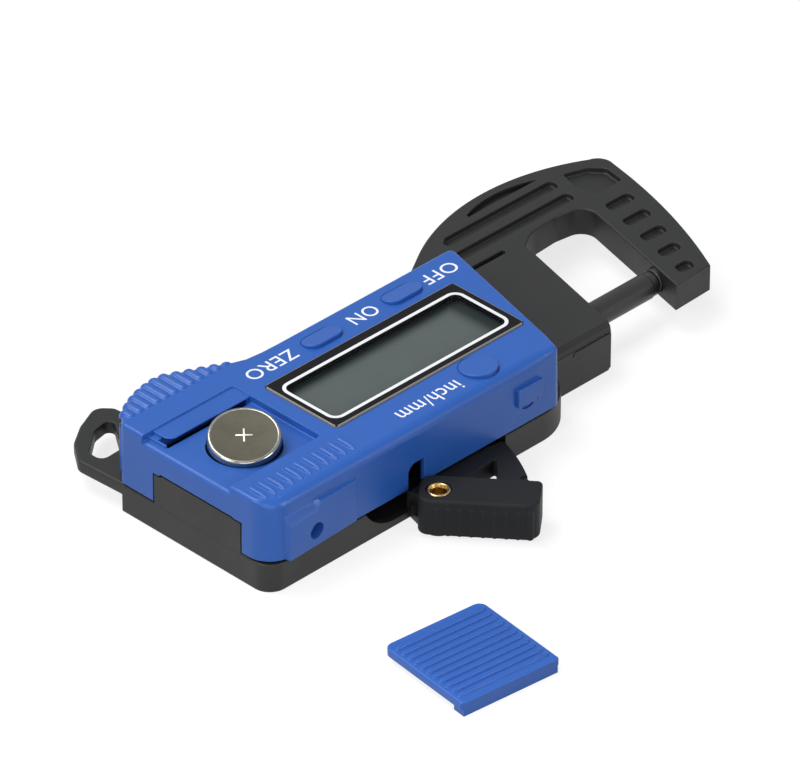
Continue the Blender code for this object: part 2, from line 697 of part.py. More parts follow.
def frame_part(made):
    """The black moulding: tray, guide block, C-shaped jaw, lever lug and lanyard ear."""
    frame = prism("frame", tray_outline(), 0.0, PARTING_Z)
    hollow = prism("frame_hollow", tray_hollow_outline(), FLOOR, PARTING_Z + 1)
    cut(frame, hollow)

    jaw = prism("frame_jaw", jaw_outline(), JAW_UNDER_Z, FRAME_TOP_Z)
    case_space = prism("frame_case_space", case_outline(FIT), PARTING_Z, FRAME_TOP_Z + 2)
    cut(jaw, case_space)
    guide = prism(
        "frame_guide",
        [
            (jaw_line(BLOCK_END_X, BLOCK_FAR_Y), BLOCK_FAR_Y),
            (BLOCK_REAR_X, BLOCK_FAR_Y),
            (BLOCK_REAR_X, BLOCK_NEAR_Y),
            (jaw_line(BLOCK_END_X, BLOCK_NEAR_Y), BLOCK_NEAR_Y),
        ],
        BLOCK_LOW_Z,
        FRAME_TOP_Z,
    )
    shave = prism(
        "frame_guide_chamfer",
        [
            (BLOCK_NEAR_Y - BLOCK_CHAMFER, FRAME_TOP_Z + 0.02),
            (BLOCK_NEAR_Y + 1, FRAME_TOP_Z + 0.02),
            (BLOCK_NEAR_Y + 1, FRAME_TOP_Z - BLOCK_CHAMFER - 0.6),
            (BLOCK_NEAR_Y + 0.01, FRAME_TOP_Z - BLOCK_CHAMFER - 0.6),
        ],
        BLOCK_END_X - 8,
        BLOCK_REAR_X + 1,
        axis="X",
    )
    cut(guide, shave)

    ear = prism("frame_ear", rounded(EAR_OUTLINE), PARTING_Z - EAR_THICK, PARTING_Z)
    ear_gap = prism("frame_ear_gap", rounded(EAR_HOLE), 0, PARTING_Z + 1)
    cut(ear, ear_gap)
    lug = prism(
        "frame_lug",
        arc(PIVOT, LUG_R, 0, 180, 10)
        + [(PIVOT[0] - LUG_R, NEAR_Y - 1), (PIVOT[0] + LUG_R, NEAR_Y - 1)],
        0.0,
        LUG_TOP_Z,
    )
    tongue = block(
        "frame_tongue",
        (END_X - CASE_WALL - 0.1, END_NOTCH_LOW_Y + FIT, PARTING_Z - 1),
        (END_X, END_NOTCH_HIGH_Y - FIT, END_NOTCH_Z - FIT),
    )
    join(frame, guide, jaw, lug, tongue, ear)
    post_low = FLOOR - 0.2
    join(frame, rod("frame_spring_post", (POST_X, SPRING_Y, post_low), (POST_X, SPRING_Y, POST_TOP_Z), POST_R, 16))

    for name, (x, y) in SCREW_POINTS.items():
        join(frame, rod(f"{name}_pillar", (x, y, 0.2), (x, y, PARTING_Z - 0.01), FRAME_BOSS_R, 20))
        cut(
            frame,
            rod(f"{name}_hole", (x, y, -1), (x, y, PARTING_Z + 5), SCREW_R + FIT, 16),
            rod(f"{name}_head_space", (x, y, -1), (x, y, SCREW_HEAD_LOW_Z + SCREW_HEAD + FIT), SCREW_HEAD_R + FIT, 20),
        )

    slot = [(LEVER_SLOT_X, PARTING_Z + 1), (LEVER_SLOT_X, LEVER_SLOT_Z)]
    slot += arc_through(
        (LEVER_SLOT_FLAT_X, LEVER_SLOT_Z), LEVER_SLOT_MID, (LEVER_SLOT_END_X, PARTING_Z + 0.2), 5
    )
    slot += [(LEVER_SLOT_END_X, PARTING_Z + 1)]
    lever_slot = prism("frame_lever_slot", slot, NEAR_Y - TRAY_WALL - 1, NEAR_Y + 1, axis="Y")
    bore = rod(
        "frame_spindle_bore",
        (ARM_INNER_X + 3, SPINDLE_Y, SPINDLE_Z),
        (BLOCK_REAR_X + 2, SPINDLE_Y, SPINDLE_Z),
        SPINDLE_R + RUN,
    )
    seat_x = jaw_line(ARM_INNER_X, SPINDLE_Y)
    anvil_bore = rod(
        "frame_anvil_bore",
        (seat_x + 3, SPINDLE_Y, SPINDLE_Z + ANVIL_RISE),
        (seat_x - ANVIL_SEAT, SPINDLE_Y, SPINDLE_Z + ANVIL_RISE),
        ANVIL_R + RUN,
    )
    rivet_hole = rod("frame_rivet_hole", (*PIVOT, -1), (*PIVOT, LUG_TOP_Z + 1), RIVET_R + RUN, 24)
    rivet_seat = rod(
        "frame_rivet_seat", (*PIVOT, -1), (*PIVOT, RIVET_FLANGE + 0.25), COUNTERBORE_R, 24
    )
    cut(frame, lever_slot, bore, anvil_bore, rivet_hole, rivet_seat, *jaw_pockets())
    return paint(frame, made)


def grip_y(x):
    """The finger grip's outer line at a given X."""
    points = grip_side()
    best = FAR_Y
    for (x0, y0), (x1, y1) in zip(points, points[1:]):
        if min(x0, x1) <= x <= max(x0, x1) and x0 != x1:
            best = y0 + (y1 - y0) * (x - x0) / (x1 - x0)
    return best


def half_round(name, start, end, radius, sides=10):
    """A raised rib with ball-like ends, lying along a line."""
    return rod(name, start, end, radius, sides)


def housing_part(made):
    """The blue front case, a shell open at the back."""
    low = PARTING_Z + SEAM
    case = prism("housing", case_outline(), low, CASE_TOP_Z, top_edge=CASE_EDGE)
    roof_under = CASE_TOP_Z - CASE_ROOF
    shell = prism("housing_hollow", case_outline(-CASE_WALL), low - 1, roof_under)
    cut(case, shell)

    recess_floor = CASE_TOP_Z - RECESS_DEPTH
    slab = block(
        "housing_recess_slab",
        (RECESS_X - 1.6, RECESS_FAR_Y - 1.6, recess_floor - RECESS_SLAB),
        (END_X - 1, RECESS_NEAR_Y + 1.6, recess_floor + 0.2),
    )
    cup = rod("housing_cup", (*POCKET_CENTRE, CUP_LOW_Z), (*POCKET_CENTRE, recess_floor - 0.5), POCKET_R + CUP_WALL)
    lens_low = CASE_TOP_Z + LENS_PROUD - LENS_THICK
    rim_high = lens_low - FIT
    rim = prism(
        "housing_lens_rim",
        rectangle(
            LENS_CENTRE[0] - LENS_LENGTH / 2 - 1.2,
            LENS_CENTRE[0] + LENS_LENGTH / 2 + 1.2,
            LENS_CENTRE[1] - LENS_WIDTH / 2 + 0.4,
            LENS_CENTRE[1] + LENS_WIDTH / 2 - 0.4,
        ),
        rim_high - 0.75,
        roof_under + 0.2,
    )
    join(case, slab, cup, rim)
    for name, (x, y) in SCREW_POINTS.items():
        join(case, rod(f"{name}_boss", (x, y, low), (x, y, roof_under + 0.3), BOSS_R, 20))

    recess = prism(
        "housing_recess",
        rectangle(RECESS_X, END_X + 3, RECESS_FAR_Y, RECESS_NEAR_Y, 0.7),
        recess_floor,
        CASE_TOP_Z + 1,
    )
    rail = prism(
        "housing_rail",
        rounded(
            [
                (RECESS_X - 0.5, RECESS_FAR_Y - 0.5, 0.0),
                (RAIL_END_X, RECESS_FAR_Y - 0.5, 0.0),
                (RAIL_END_X, RECESS_FAR_Y + RAIL_WIDTH, 1.6),
                (RECESS_X - 0.5, RECESS_FAR_Y + RAIL_WIDTH, 0.0),
            ]
        ),
        recess_floor - 0.5,
        CASE_TOP_Z - RAIL_DROP,
    )
    slot_low_y = RECESS_FAR_Y + RAIL_WIDTH
    rail_slot = block(
        "housing_rail_slot",
        (RECESS_X + 1, slot_low_y, recess_floor - RECESS_SLAB - 1),
        (RAIL_END_X + 0.4, slot_low_y + RAIL_SLOT, CASE_TOP_Z + 1),
    )
    pocket = rod("housing_pocket", (*POCKET_CENTRE, CUP_LOW_Z + CUP_FLOOR), (*POCKET_CENTRE, CASE_TOP_Z + 1), POCKET_R)
    cut(case, recess)
    join(case, rail)
    contact_slot = block(
        "housing_contact_slot",
        (POCKET_CENTRE[0] - POCKET_R - CUP_WALL - 1, POCKET_CENTRE[1] - 2.1, BOARD_Z + BOARD_THICK),
        (POCKET_CENTRE[0] - POCKET_R + 0.6, POCKET_CENTRE[1] + 2.1, recess_floor - RECESS_SLAB - 0.2),
    )
    cut(case, rail_slot, pocket, contact_slot)

    lens_seat = prism(
        "housing_lens_seat",
        rectangle(
            LENS_CENTRE[0] - LENS_LENGTH / 2 - RUN,
            LENS_CENTRE[0] + LENS_LENGTH / 2 + RUN,
            LENS_CENTRE[1] - LENS_WIDTH / 2 - RUN,
            LENS_CENTRE[1] + LENS_WIDTH / 2 + RUN,
            LENS_CORNER + RUN,
        ),
        rim_high,
        CASE_TOP_Z + 1,
    )
    window = prism(
        "housing_window",
        rectangle(
            LENS_CENTRE[0] - WINDOW_LENGTH / 2,
            LENS_CENTRE[0] + WINDOW_LENGTH / 2,
            LENS_CENTRE[1] - WINDOW_WIDTH / 2,
            LENS_CENTRE[1] + WINDOW_WIDTH / 2,
            1.2,
        ),
        rim_high - 3,
        CASE_TOP_Z + 1,
    )
    cut(case, lens_seat, window)
    for name, centre in (("off", BUTTON_OFF), ("on", BUTTON_ON)):
        hole = stadium(centre, BUTTON_LENGTH + 2 * RUN, BUTTON_WIDTH + 2 * RUN)
        cut(case, prism(f"housing_button_hole_{name}", hole, roof_under - 3, CASE_TOP_Z + 1))
    cut(case, rod("housing_button_hole_unit", (*BUTTON_UNIT, roof_under - 3), (*BUTTON_UNIT, CASE_TOP_Z + 1), ROUND_BUTTON_R + RUN))

    block_space = prism(
        "housing_block_space",
        [
            (BLOCK_END_X - 6, BLOCK_FAR_Y - FIT),
            (BLOCK_REAR_X + FIT, BLOCK_FAR_Y - FIT),
            (BLOCK_REAR_X + FIT, SPINDLE_Y - SPINDLE_R - FIT),
            (jaw_line(CASE_JAW_X, BLOCK_NEAR_Y) + CASE_WALL + 2 * FIT, BLOCK_NEAR_Y + FIT),
            (BLOCK_END_X - 6, BLOCK_NEAR_Y + FIT),
        ],
        low - 1,
        FRAME_TOP_Z + FIT,
    )
    end_notch = block(
        "housing_end_notch",
        (END_X - CASE_WALL - 1, END_NOTCH_LOW_Y, low - 1),
        (END_X + 1, END_NOTCH_HIGH_Y, END_NOTCH_Z),
    )
    notch_low_x = PIVOT[0] - PIVOT_NOTCH_WIDTH / 2
    notch_high_x = PIVOT[0] + PIVOT_NOTCH_WIDTH / 2
    pivot_notch = prism(
        "housing_pivot_notch",
        rounded(
            [
                (notch_low_x, low - 1, 0.0),
                (notch_high_x, low - 1, 0.0),
                (notch_high_x, PIVOT_NOTCH_Z, PIVOT_NOTCH_R),
                (notch_low_x, PIVOT_NOTCH_Z, 0.0),
            ]
        ),
        NEAR_Y - CASE_WALL - 1,
        NEAR_Y + 1,
        axis="Y",
    )
    cut(case, block_space, end_notch, pivot_notch)
    for name, (x, y) in SCREW_POINTS.items():
        cut(case, rod(f"{name}_thread", (x, y, low - 1), (x, y, SCREW_TIP_Z + FIT), SCREW_R + RUN, 16))

    panel = prism(
        "housing_side_panel",
        [
            (PANEL_LOW_X, NEAR_Y - 0.6),
            (PANEL_HIGH_X, NEAR_Y - 0.6),
            (PANEL_HIGH_X, NEAR_Y + PANEL_PROUD_HIGH),
            (PANEL_LOW_X, NEAR_Y + PANEL_PROUD_LOW),
        ],
        low + 0.01,
        PANEL_TOP_Z,
        top_edge=0.35,
    )
    catch = prism(
        "housing_catch",
        rounded(
            [
                (CATCH_LOW_X, CATCH_LOW_Z, 1.2),
                (CATCH_HIGH_X, CATCH_LOW_Z, 0.6),
                (CATCH_HIGH_X, CATCH_TOP_Z, 0.3),
                (CATCH_LOW_X, CATCH_TOP_Z, 0.3),
            ]
        ),
        NEAR_Y - 0.6,
        NEAR_Y + CATCH_PROUD,
        axis="Y",
    )
    join(case, panel, catch)
    hole_x, hole_z = PANEL_HOLE
    cut(case, rod("housing_panel_hole", (hole_x, NEAR_Y - 1.2, hole_z), (hole_x, NEAR_Y + 2, hole_z), PANEL_HOLE_R, 20))

    half = NEAR_RIB_WIDTH / 2
    for i in range(NEAR_RIBS):
        x = NEAR_RIB_FIRST_X + i * NEAR_RIB_PITCH
        bar = rectangle(x - half, x + half, NEAR_RIB_LOW_Y, NEAR_RIB_HIGH_Y, 0.3)
        ridge = prism(f"housing_near_rib_{i + 1}", bar, CASE_TOP_Z - 0.5, CASE_TOP_Z + NEAR_RIB_PROUD)
        join(case, ridge)
    for i in range(SIDE_RIBS):
        x = SIDE_RIB_FIRST_X + i * SIDE_RIB_PITCH
        outer = grip_y(x)
        ridge = half_round(f"housing_grip_rib_{i + 1}", (x, SIDE_RIB_INNER_Y, CASE_TOP_Z - 0.05), (x, outer, CASE_TOP_Z - 0.05), RIB_R)
        upright = half_round(f"housing_grip_rib_side_{i + 1}", (x, outer + 0.1, low + 0.4), (x, outer + 0.1, CASE_TOP_Z), RIB_R)
        join(case, ridge, upright)
    return paint(case, made)


def display_parts(lens_made, glass_made, rubber_made, board_made, chip_made, dome_made):
    """The lens, the display panel, its rubber contact strips and the circuit board."""
    lens_low = CASE_TOP_Z + LENS_PROUD - LENS_THICK
    lens = prism(
        "display_lens",
        rectangle(
            LENS_CENTRE[0] - LENS_LENGTH / 2,
            LENS_CENTRE[0] + LENS_LENGTH / 2,
            LENS_CENTRE[1] - LENS_WIDTH / 2,
            LENS_CENTRE[1] + LENS_WIDTH / 2,
            LENS_CORNER,
        ),
        lens_low,
        lens_low + LENS_THICK,
        top_edge=0.25,
        steps=1,
    )
    paint(lens, lens_made)
    board_top = BOARD_Z + BOARD_THICK
    rubber_low = board_top + SEAM
    lcd_low = LCD_TOP_Z - LCD_THICK
    lcd = block(
        "lcd_panel",
        (LENS_CENTRE[0] - LCD_LENGTH / 2, -LCD_WIDTH / 2, lcd_low),
        (LENS_CENTRE[0] + LCD_LENGTH / 2, LCD_WIDTH / 2, lcd_low + LCD_THICK),
    )
    paint(lcd, glass_made)
    strip_y = LCD_WIDTH / 2 - RUBBER_WIDTH / 2 - RUN
    strip_x = LCD_LENGTH / 2 - RUBBER_INSET
    half_strip = RUBBER_WIDTH / 2
    for name, y in (("lcd_contact_strip_far", -strip_y), ("lcd_contact_strip_near", strip_y)):
        strip = block(
            name,
            (LENS_CENTRE[0] - strip_x, y - half_strip, rubber_low),
            (LENS_CENTRE[0] + strip_x, y + half_strip, rubber_low + RUBBER_HEIGHT),
        )
        paint(strip, rubber_made)
    edge = CASE_WALL + 0.6
    board = prism(
        "circuit_board",
        [
            (jaw_line(CASE_JAW_X, FAR_Y + edge) + 3.4, FAR_Y + edge),
            (BOARD_REAR_X, FAR_Y + edge),
            (BOARD_REAR_X, NEAR_Y - edge),
            (jaw_line(CASE_JAW_X, NEAR_Y - edge) + 3.4, NEAR_Y - edge),
        ],
        BOARD_Z,
        board_top,
    )
    for name in ("case_screw_jaw_far", "case_screw_jaw_near"):
        x, y = SCREW_POINTS[name]
        cut(board, rod(f"{name}_board_gap", (x, y, BOARD_Z - 1), (x, y, board_top + 1), BOSS_R + FIT, 20))
    paint(board, board_made)
    chip_low = board_top + SEAM
    chip = rod("display_chip", (3.0, 0.0, chip_low), (3.0, 0.0, chip_low + CHIP_HEIGHT), CHIP_R, 24, far_radius=CHIP_R / 1.5)
    paint(chip, chip_made, smooth=True)
    domes = (("key_dome_off", BUTTON_OFF), ("key_dome_on", BUTTON_ON), ("key_dome_unit", BUTTON_UNIT))
    for name, (x, y) in domes:
        dome = rod(name, (x, y, board_top + SEAM), (x, y, board_top + SEAM + DOME_HEIGHT), DOME_R, 20, far_radius=DOME_TOP_R)
        paint(dome, dome_made, smooth=True)


def button(name, centre, outline, flange, made):
    """One key: a cap through the roof, a flange under it and a stem over its dome."""
    roof_under = CASE_TOP_Z - CASE_ROOF
    flange_top = roof_under - FIT
    flange_low = flange_top - BUTTON_FLANGE
    stem_low = BOARD_Z + BOARD_THICK + SEAM + DOME_HEIGHT + BUTTON_TRAVEL + 0.2
    cap = prism(name, outline, flange_top - 0.2, CASE_TOP_Z + BUTTON_PROUD, top_edge=0.35)
    base = prism(f"{name}_flange", flange, flange_low, flange_top)
    stem = rod(f"{name}_stem", (*centre, stem_low), (*centre, flange_low + 0.2), BUTTON_STEM_R, 16)
    join(cap, base, stem)
    paint(cap, made)
    hinge_point(f"{name}_axis", (*centre, CASE_TOP_Z), cap)


def button_parts(made):
    """The three keys of the front case."""
    rim = 2 * BUTTON_RIM
    for name, centre in (("button_off", BUTTON_OFF), ("button_on", BUTTON_ON)):
        cap = stadium(centre, BUTTON_LENGTH, BUTTON_WIDTH)
        flange = stadium(centre, BUTTON_LENGTH + rim, BUTTON_WIDTH + rim)
        button(name, centre, cap, flange, made)
    cap = circle(BUTTON_UNIT, ROUND_BUTTON_R)
    flange = circle(BUTTON_UNIT, ROUND_BUTTON_R + BUTTON_RIM)
    button("button_unit", BUTTON_UNIT, cap, flange, made)


def cell_parts(cell_made, contact_made):
    """The button cell, tipped up in its pocket, and its two contacts."""
    tip = Vector((math.cos(CELL_TILT_TO), math.sin(CELL_TILT_TO), 0.0))
    up = Vector((0, 0, 1)) * math.cos(CELL_TILT) + tip * math.sin(CELL_TILT)
    top = Vector(CELL_TOP)
    foot = top - up * CELL_HEIGHT
    can_foot = foot + up * CELL_CAP
    cell = rod("battery_cell", can_foot, top, CELL_R, 40)
    negative = rod("battery_cell_negative", foot, can_foot + up * 0.2, CELL_R - CELL_CAP_INSET, 32)
    join(cell, negative)
    paint(cell, cell_made, smooth=True)
    hinge_point("battery_cell_axis", top, cell)

    floor = CUP_LOW_Z + CUP_FLOOR + SEAM
    across = (Vector(POCKET_CENTRE).x * tip.x) + (Vector(POCKET_CENTRE).y * tip.y)
    foot_along = foot.x * tip.x + foot.y * tip.y

    def under_cell(along):
        """Height just under the tipped cell at a distance along the tilt direction."""
        return foot.z - math.tan(CELL_TILT) * (along - foot_along) - FIT

    near, far = across + 4.4, across - 4.4
    start = across - 3.6
    upper_near = (near - 0.6, under_cell(near - 0.6))
    upper_far = (far + 1.0, under_cell(far + 1.0))
    bend = (near + 0.3, (floor + upper_near[1]) / 2)
    path_low = [(start, floor + LEAF), (near - 0.6, floor + LEAF), (bend[0] - LEAF, bend[1]), (upper_near[0], upper_near[1] - LEAF), (upper_far[0], upper_far[1] - LEAF)]
    path_high = [(upper_far[0], upper_far[1]), (upper_near[0], upper_near[1]), (bend[0], bend[1]), (near - 0.6, floor), (start, floor)]
    leaf = prism("contact_negative", path_low + path_high, -LEAF_WIDTH / 2, LEAF_WIDTH / 2, axis="Y")
    sideways = POCKET_CENTRE[1] * tip.x - POCKET_CENTRE[0] * tip.y
    turn = Matrix.Rotation(CELL_TILT_TO, 4, "Z")
    shift = Matrix.Translation(Vector((0, sideways, 0)) * MM)
    leaf.data.transform(turn @ shift)
    paint(leaf, contact_made)

    slot_x = POCKET_CENTRE[0] - POCKET_R
    board_top = BOARD_Z + BOARD_THICK
    tab_low = board_top + SEAM + 0.1
    side = [
        (BOARD_REAR_X - 2.5, tab_low),
        (slot_x - 0.2, tab_low),
        (slot_x - 0.2, CASE_TOP_Z - RECESS_DEPTH - RECESS_SLAB - 0.7),
        (slot_x - 0.2 - LEAF, CASE_TOP_Z - RECESS_DEPTH - RECESS_SLAB - 0.7),
        (slot_x - 0.2 - LEAF, tab_low + LEAF),
        (BOARD_REAR_X - 2.5, tab_low + LEAF),
    ]
    clip = prism("contact_positive", side, POCKET_CENTRE[1] - LEAF_WIDTH / 2, POCKET_CENTRE[1] + LEAF_WIDTH / 2, axis="Y")
    paint(clip, contact_made)


def spindle_parts(spindle_made, steel_made, carriage_made, strip_made, spring_made):
    """The spindle, its hard tip, the fixed anvil, and the carriage with what it carries."""
    axis_y, axis_z = SPINDLE_Y, SPINDLE_Z
    seat_x = jaw_line(ARM_INNER_X, axis_y)
    anvil_face = seat_x + ANVIL_PROUD
    anvil = rod(
        "anvil",
        (anvil_face, axis_y, axis_z + ANVIL_RISE),
        (seat_x - ANVIL_SEAT + FIT, axis_y, axis_z + ANVIL_RISE),
        ANVIL_R,
    )
    paint(anvil, steel_made, smooth=True)
    tip_x = anvil_face + CONTACT
    tip = rod("spindle_tip", (tip_x, axis_y, axis_z), (tip_x + TIP_LENGTH, axis_y, axis_z), SPINDLE_R - 0.15)
    paint(tip, steel_made, smooth=True)

    pin_x = finger_tip()[0]
    front = pin_x - CARRIAGE_LENGTH / 2
    rear = pin_x + CARRIAGE_LENGTH / 2
    spindle = rod(
        "spindle",
        (tip_x + TIP_LENGTH + CONTACT, axis_y, axis_z),
        (rear - 0.4, axis_y, axis_z),
        SPINDLE_R,
    )
    paint(spindle, spindle_made, smooth=True)

    carriage = block(
        "carriage",
        (front, axis_y - CARRIAGE_HALF_WIDTH, CARRIAGE_LOW_Z),
        (rear, axis_y + CARRIAGE_HALF_WIDTH, CARRIAGE_TOP_Z),
    )
    half_gap = FORK_GAP / 2
    lug_far, lug_near = axis_y - FORK_REACH, axis_y + FINGER_TIP_R
    lugs = [
        block("carriage_lug_front", (front, lug_far, FORK_LOW_Z), (pin_x - half_gap, lug_near, CARRIAGE_LOW_Z + 0.3)),
        block("carriage_lug_rear", (pin_x + half_gap, lug_far, FORK_LOW_Z), (rear, lug_near, CARRIAGE_LOW_Z + 0.3)),
    ]
    arm = block(
        "carriage_spring_arm",
        (front, SPRING_Y - 1.2, CARRIAGE_LOW_Z + 0.8),
        (front + SPRING_ARM, axis_y - CARRIAGE_HALF_WIDTH + 0.5, CARRIAGE_LOW_Z + 2.6),
    )
    post = rod(
        "carriage_spring_post",
        (front + SPRING_ARM / 2, SPRING_Y, SPRING_Z - 1.0),
        (front + SPRING_ARM / 2, SPRING_Y, CARRIAGE_LOW_Z + 1.2),
        POST_R,
        16,
    )
    join(carriage, *lugs, arm, post)
    cut(
        carriage,
        rod("carriage_bore", (front - 1, axis_y, axis_z), (rear + 1, axis_y, axis_z), SPINDLE_R + CARRIAGE_GRIP),
    )
    paint(carriage, carriage_made)
    strip = block(
        "sensor_strip",
        (front - STRIP_LEAD, axis_y - STRIP_FAR, STRIP_LOW_Z),
        (rear + STRIP_TAIL, axis_y + STRIP_NEAR, STRIP_LOW_Z + STRIP_THICK),
    )
    paint(strip, strip_made)
    hinge_point("spindle_axis", (tip_x, axis_y, axis_z), spindle, tip, carriage, strip)
    return_spring((POST_X, SPRING_Y), (front + SPRING_ARM / 2, SPRING_Y), spring_made)


def return_spring(fixed, moving, made):
    """The extension spring between the frame's post and the carriage's post."""
    loop_r = POST_R + SPRING_WIRE_R + FIT
    body_start = fixed[0] + loop_r + SPRING_TAIL
    body_end = moving[0] - loop_r - SPRING_TAIL
    points = []
    for i in range(11):
        a = math.radians(200 + 300 * (10 - i) / 10 - 40)
        points.append((fixed[0] - loop_r * math.cos(a), fixed[1] + loop_r * math.sin(a), SPRING_Z))
    steps_per_turn = 8
    total = SPRING_TURNS * steps_per_turn
    for i in range(total + 1):
        a = 2 * math.pi * i / steps_per_turn
        ramp = min(1.0, (i + 1) / 6, (total + 1 - i) / 6)
        x = body_start + (body_end - body_start) * i / total
        r = SPRING_R * ramp
        points.append((x, fixed[1] + r * math.sin(a), SPRING_Z + r * math.cos(a)))
    for i in range(11):
        a = math.radians(160 + 300 * i / 10 + 40)
        points.append((moving[0] + loop_r * math.cos(a), moving[1] + loop_r * math.sin(a), SPRING_Z))
    curve = bpy.data.curves.new("return_spring", "CURVE")
    curve.dimensions = "3D"
    line = curve.splines.new("POLY")
    line.points.add(len(points) - 1)
    for knot, point in zip(line.points, points):
        knot.co = (*(Vector(point) * MM), 1.0)
    curve.bevel_depth = SPRING_WIRE_R * MM
    curve.bevel_resolution = 1
    curve.use_fill_caps = True
    curve.materials.append(made)
    link("return_spring", curve)


def finger_tip():
    """Where the lever's finger meets the spindle's axis at rest, half a travel before the middle."""
    return (PIVOT[0] - TRAVEL / 2, SPINDLE_Y)


def lever_point(along, out):
    """A point of the lever's pad, from distances along the pad and outwards from its pivot line."""
    x = PIVOT[0] + along * math.cos(PAD_ANGLE) + out * math.sin(PAD_ANGLE)
    y = PIVOT[1] + along * math.sin(PAD_ANGLE) - out * math.cos(PAD_ANGLE)
    return (x, y)


def lever_part(made, rivet_made):
    """The thumb lever with its pad, truss and drive finger, and the hollow rivet it turns on."""
    pad_corners = [
        (*lever_point(PAD_START, PAD_INNER), 3.3),
        (*lever_point(PAD_START, PAD_OUTER), 3.0),
        (*lever_point(PAD_END, PAD_OUTER), 0.8),
        (*lever_point(PAD_END, PAD_INNER + 1.8), 1.0),
        (*lever_point(PAD_END - 1.6, PAD_INNER), 0.5),
    ]
    lever = prism("lever", rounded(pad_corners), LEVER_LOW_Z, LEVER_TOP_Z, top_edge=0.4, steps=2)
    apex_x, apex_y = TRUSS_APEX
    strut_mid = (apex_x + 1.7, apex_y + 4.4)
    strut_end = lever_point(PAD_END - 2.4, PAD_INNER + 0.4)
    outline = [(apex_x + 0.4, apex_y - 0.1)]
    outline += arc_through((apex_x, apex_y + 0.4), strut_mid, strut_end, 6)
    outline += [lever_point(PAD_END - 4.5, PAD_INNER + 1.5), (PIVOT[0], PIVOT[1] + 1), (PIVOT[0] + 1.5, apex_y)]
    truss = prism("lever_truss", outline, LEVER_LOW_Z, TRUSS_TOP_Z)
    window = rounded([(apex_x + dx, apex_y + dy, 0.3) for dx, dy in TRUSS_WINDOW], 2)
    cut(truss, prism("lever_truss_window", window, LEVER_LOW_Z - 1, TRUSS_TOP_Z + 1))
    tip = finger_tip()
    root = Vector((PIVOT[0], apex_y + 1.5))
    direction = (Vector(tip) - Vector(PIVOT)).normalized()
    side = Vector((direction.y, -direction.x))
    narrow = FINGER_NECK
    before_tip = Vector(tip) - direction * 0.2
    neck = Vector(tip) - direction * FINGER_NECK_LENGTH
    finger = prism(
        "lever_finger",
        [
            tuple(root + side * FINGER_ROOT),
            tuple(neck + side * narrow),
            tuple(before_tip + side * narrow),
            tuple(before_tip - side * narrow),
            tuple(neck - side * narrow),
            tuple(root - side * FINGER_ROOT),
        ],
        LEVER_LOW_Z,
        FINGER_TOP_Z,
    )
    pin = rod("lever_finger_pin", (*tip, LEVER_LOW_Z), (*tip, FINGER_TOP_Z), FINGER_TIP_R, 20)
    join(lever, truss, finger, pin)
    for i in range(GRIP_RIDGES):
        along = PAD_END - 1.6 - i * GRIP_PITCH
        x, y = lever_point(along, PAD_OUTER - 0.15)
        join(lever, rod(f"lever_ridge_{i + 1}", (x, y, LEVER_LOW_Z + 0.2), (x, y, LEVER_TOP_Z - 0.6), GRIP_RIDGE_R, 10))
    cut(
        lever,
        rod("lever_bore", (*PIVOT, LEVER_LOW_Z - 1), (*PIVOT, LEVER_TOP_Z + 1), RIVET_R + RUN, 24),
        rod("lever_counterbore", (*PIVOT, LEVER_TOP_Z - COUNTERBORE), (*PIVOT, LEVER_TOP_Z + 1), COUNTERBORE_R, 24),
    )
    paint(lever, made)
    set_origin(lever, (*PIVOT, LEVER_LOW_Z))

    low = 0.1
    high = LEVER_TOP_Z - 0.05
    rivet = rod("lever_rivet", (*PIVOT, low), (*PIVOT, high), RIVET_R, 24)
    join(
        rivet,
        rod("lever_rivet_head", (*PIVOT, high - RIVET_FLANGE), (*PIVOT, high), RIVET_FLANGE_R, 28),
        rod("lever_rivet_foot", (*PIVOT, low), (*PIVOT, low + RIVET_FLANGE), RIVET_FLANGE_R, 28),
    )
    cut(rivet, rod("lever_rivet_bore", (*PIVOT, -1), (*PIVOT, high + 1), RIVET_BORE_R, 24))
    paint(rivet, rivet_made, smooth=True)


def screw_parts(made):
    """The four screws that hold the case to the frame from behind."""
    long_way, short_way = SCREW_SLOT, SCREW_SLOT_WIDTH
    slot_low = SCREW_HEAD_LOW_Z - 1
    slot_high = SCREW_HEAD_LOW_Z + SCREW_SLOT_DEPTH
    for name, (x, y) in SCREW_POINTS.items():
        head_top = SCREW_HEAD_LOW_Z + SCREW_HEAD
        screw = rod(name, (x, y, SCREW_HEAD_LOW_Z), (x, y, head_top), SCREW_HEAD_R, 20)
        shank = rod(f"{name}_shank", (x, y, head_top - 0.3), (x, y, SCREW_TIP_Z), SCREW_R, 14)
        join(screw, shank)
        cut(
            screw,
            block(f"{name}_slot_x", (x - long_way, y - short_way, slot_low), (x + long_way, y + short_way, slot_high)),
            block(f"{name}_slot_y", (x - short_way, y - long_way, slot_low), (x + short_way, y + long_way, slot_high)),
        )
        paint(screw, made)


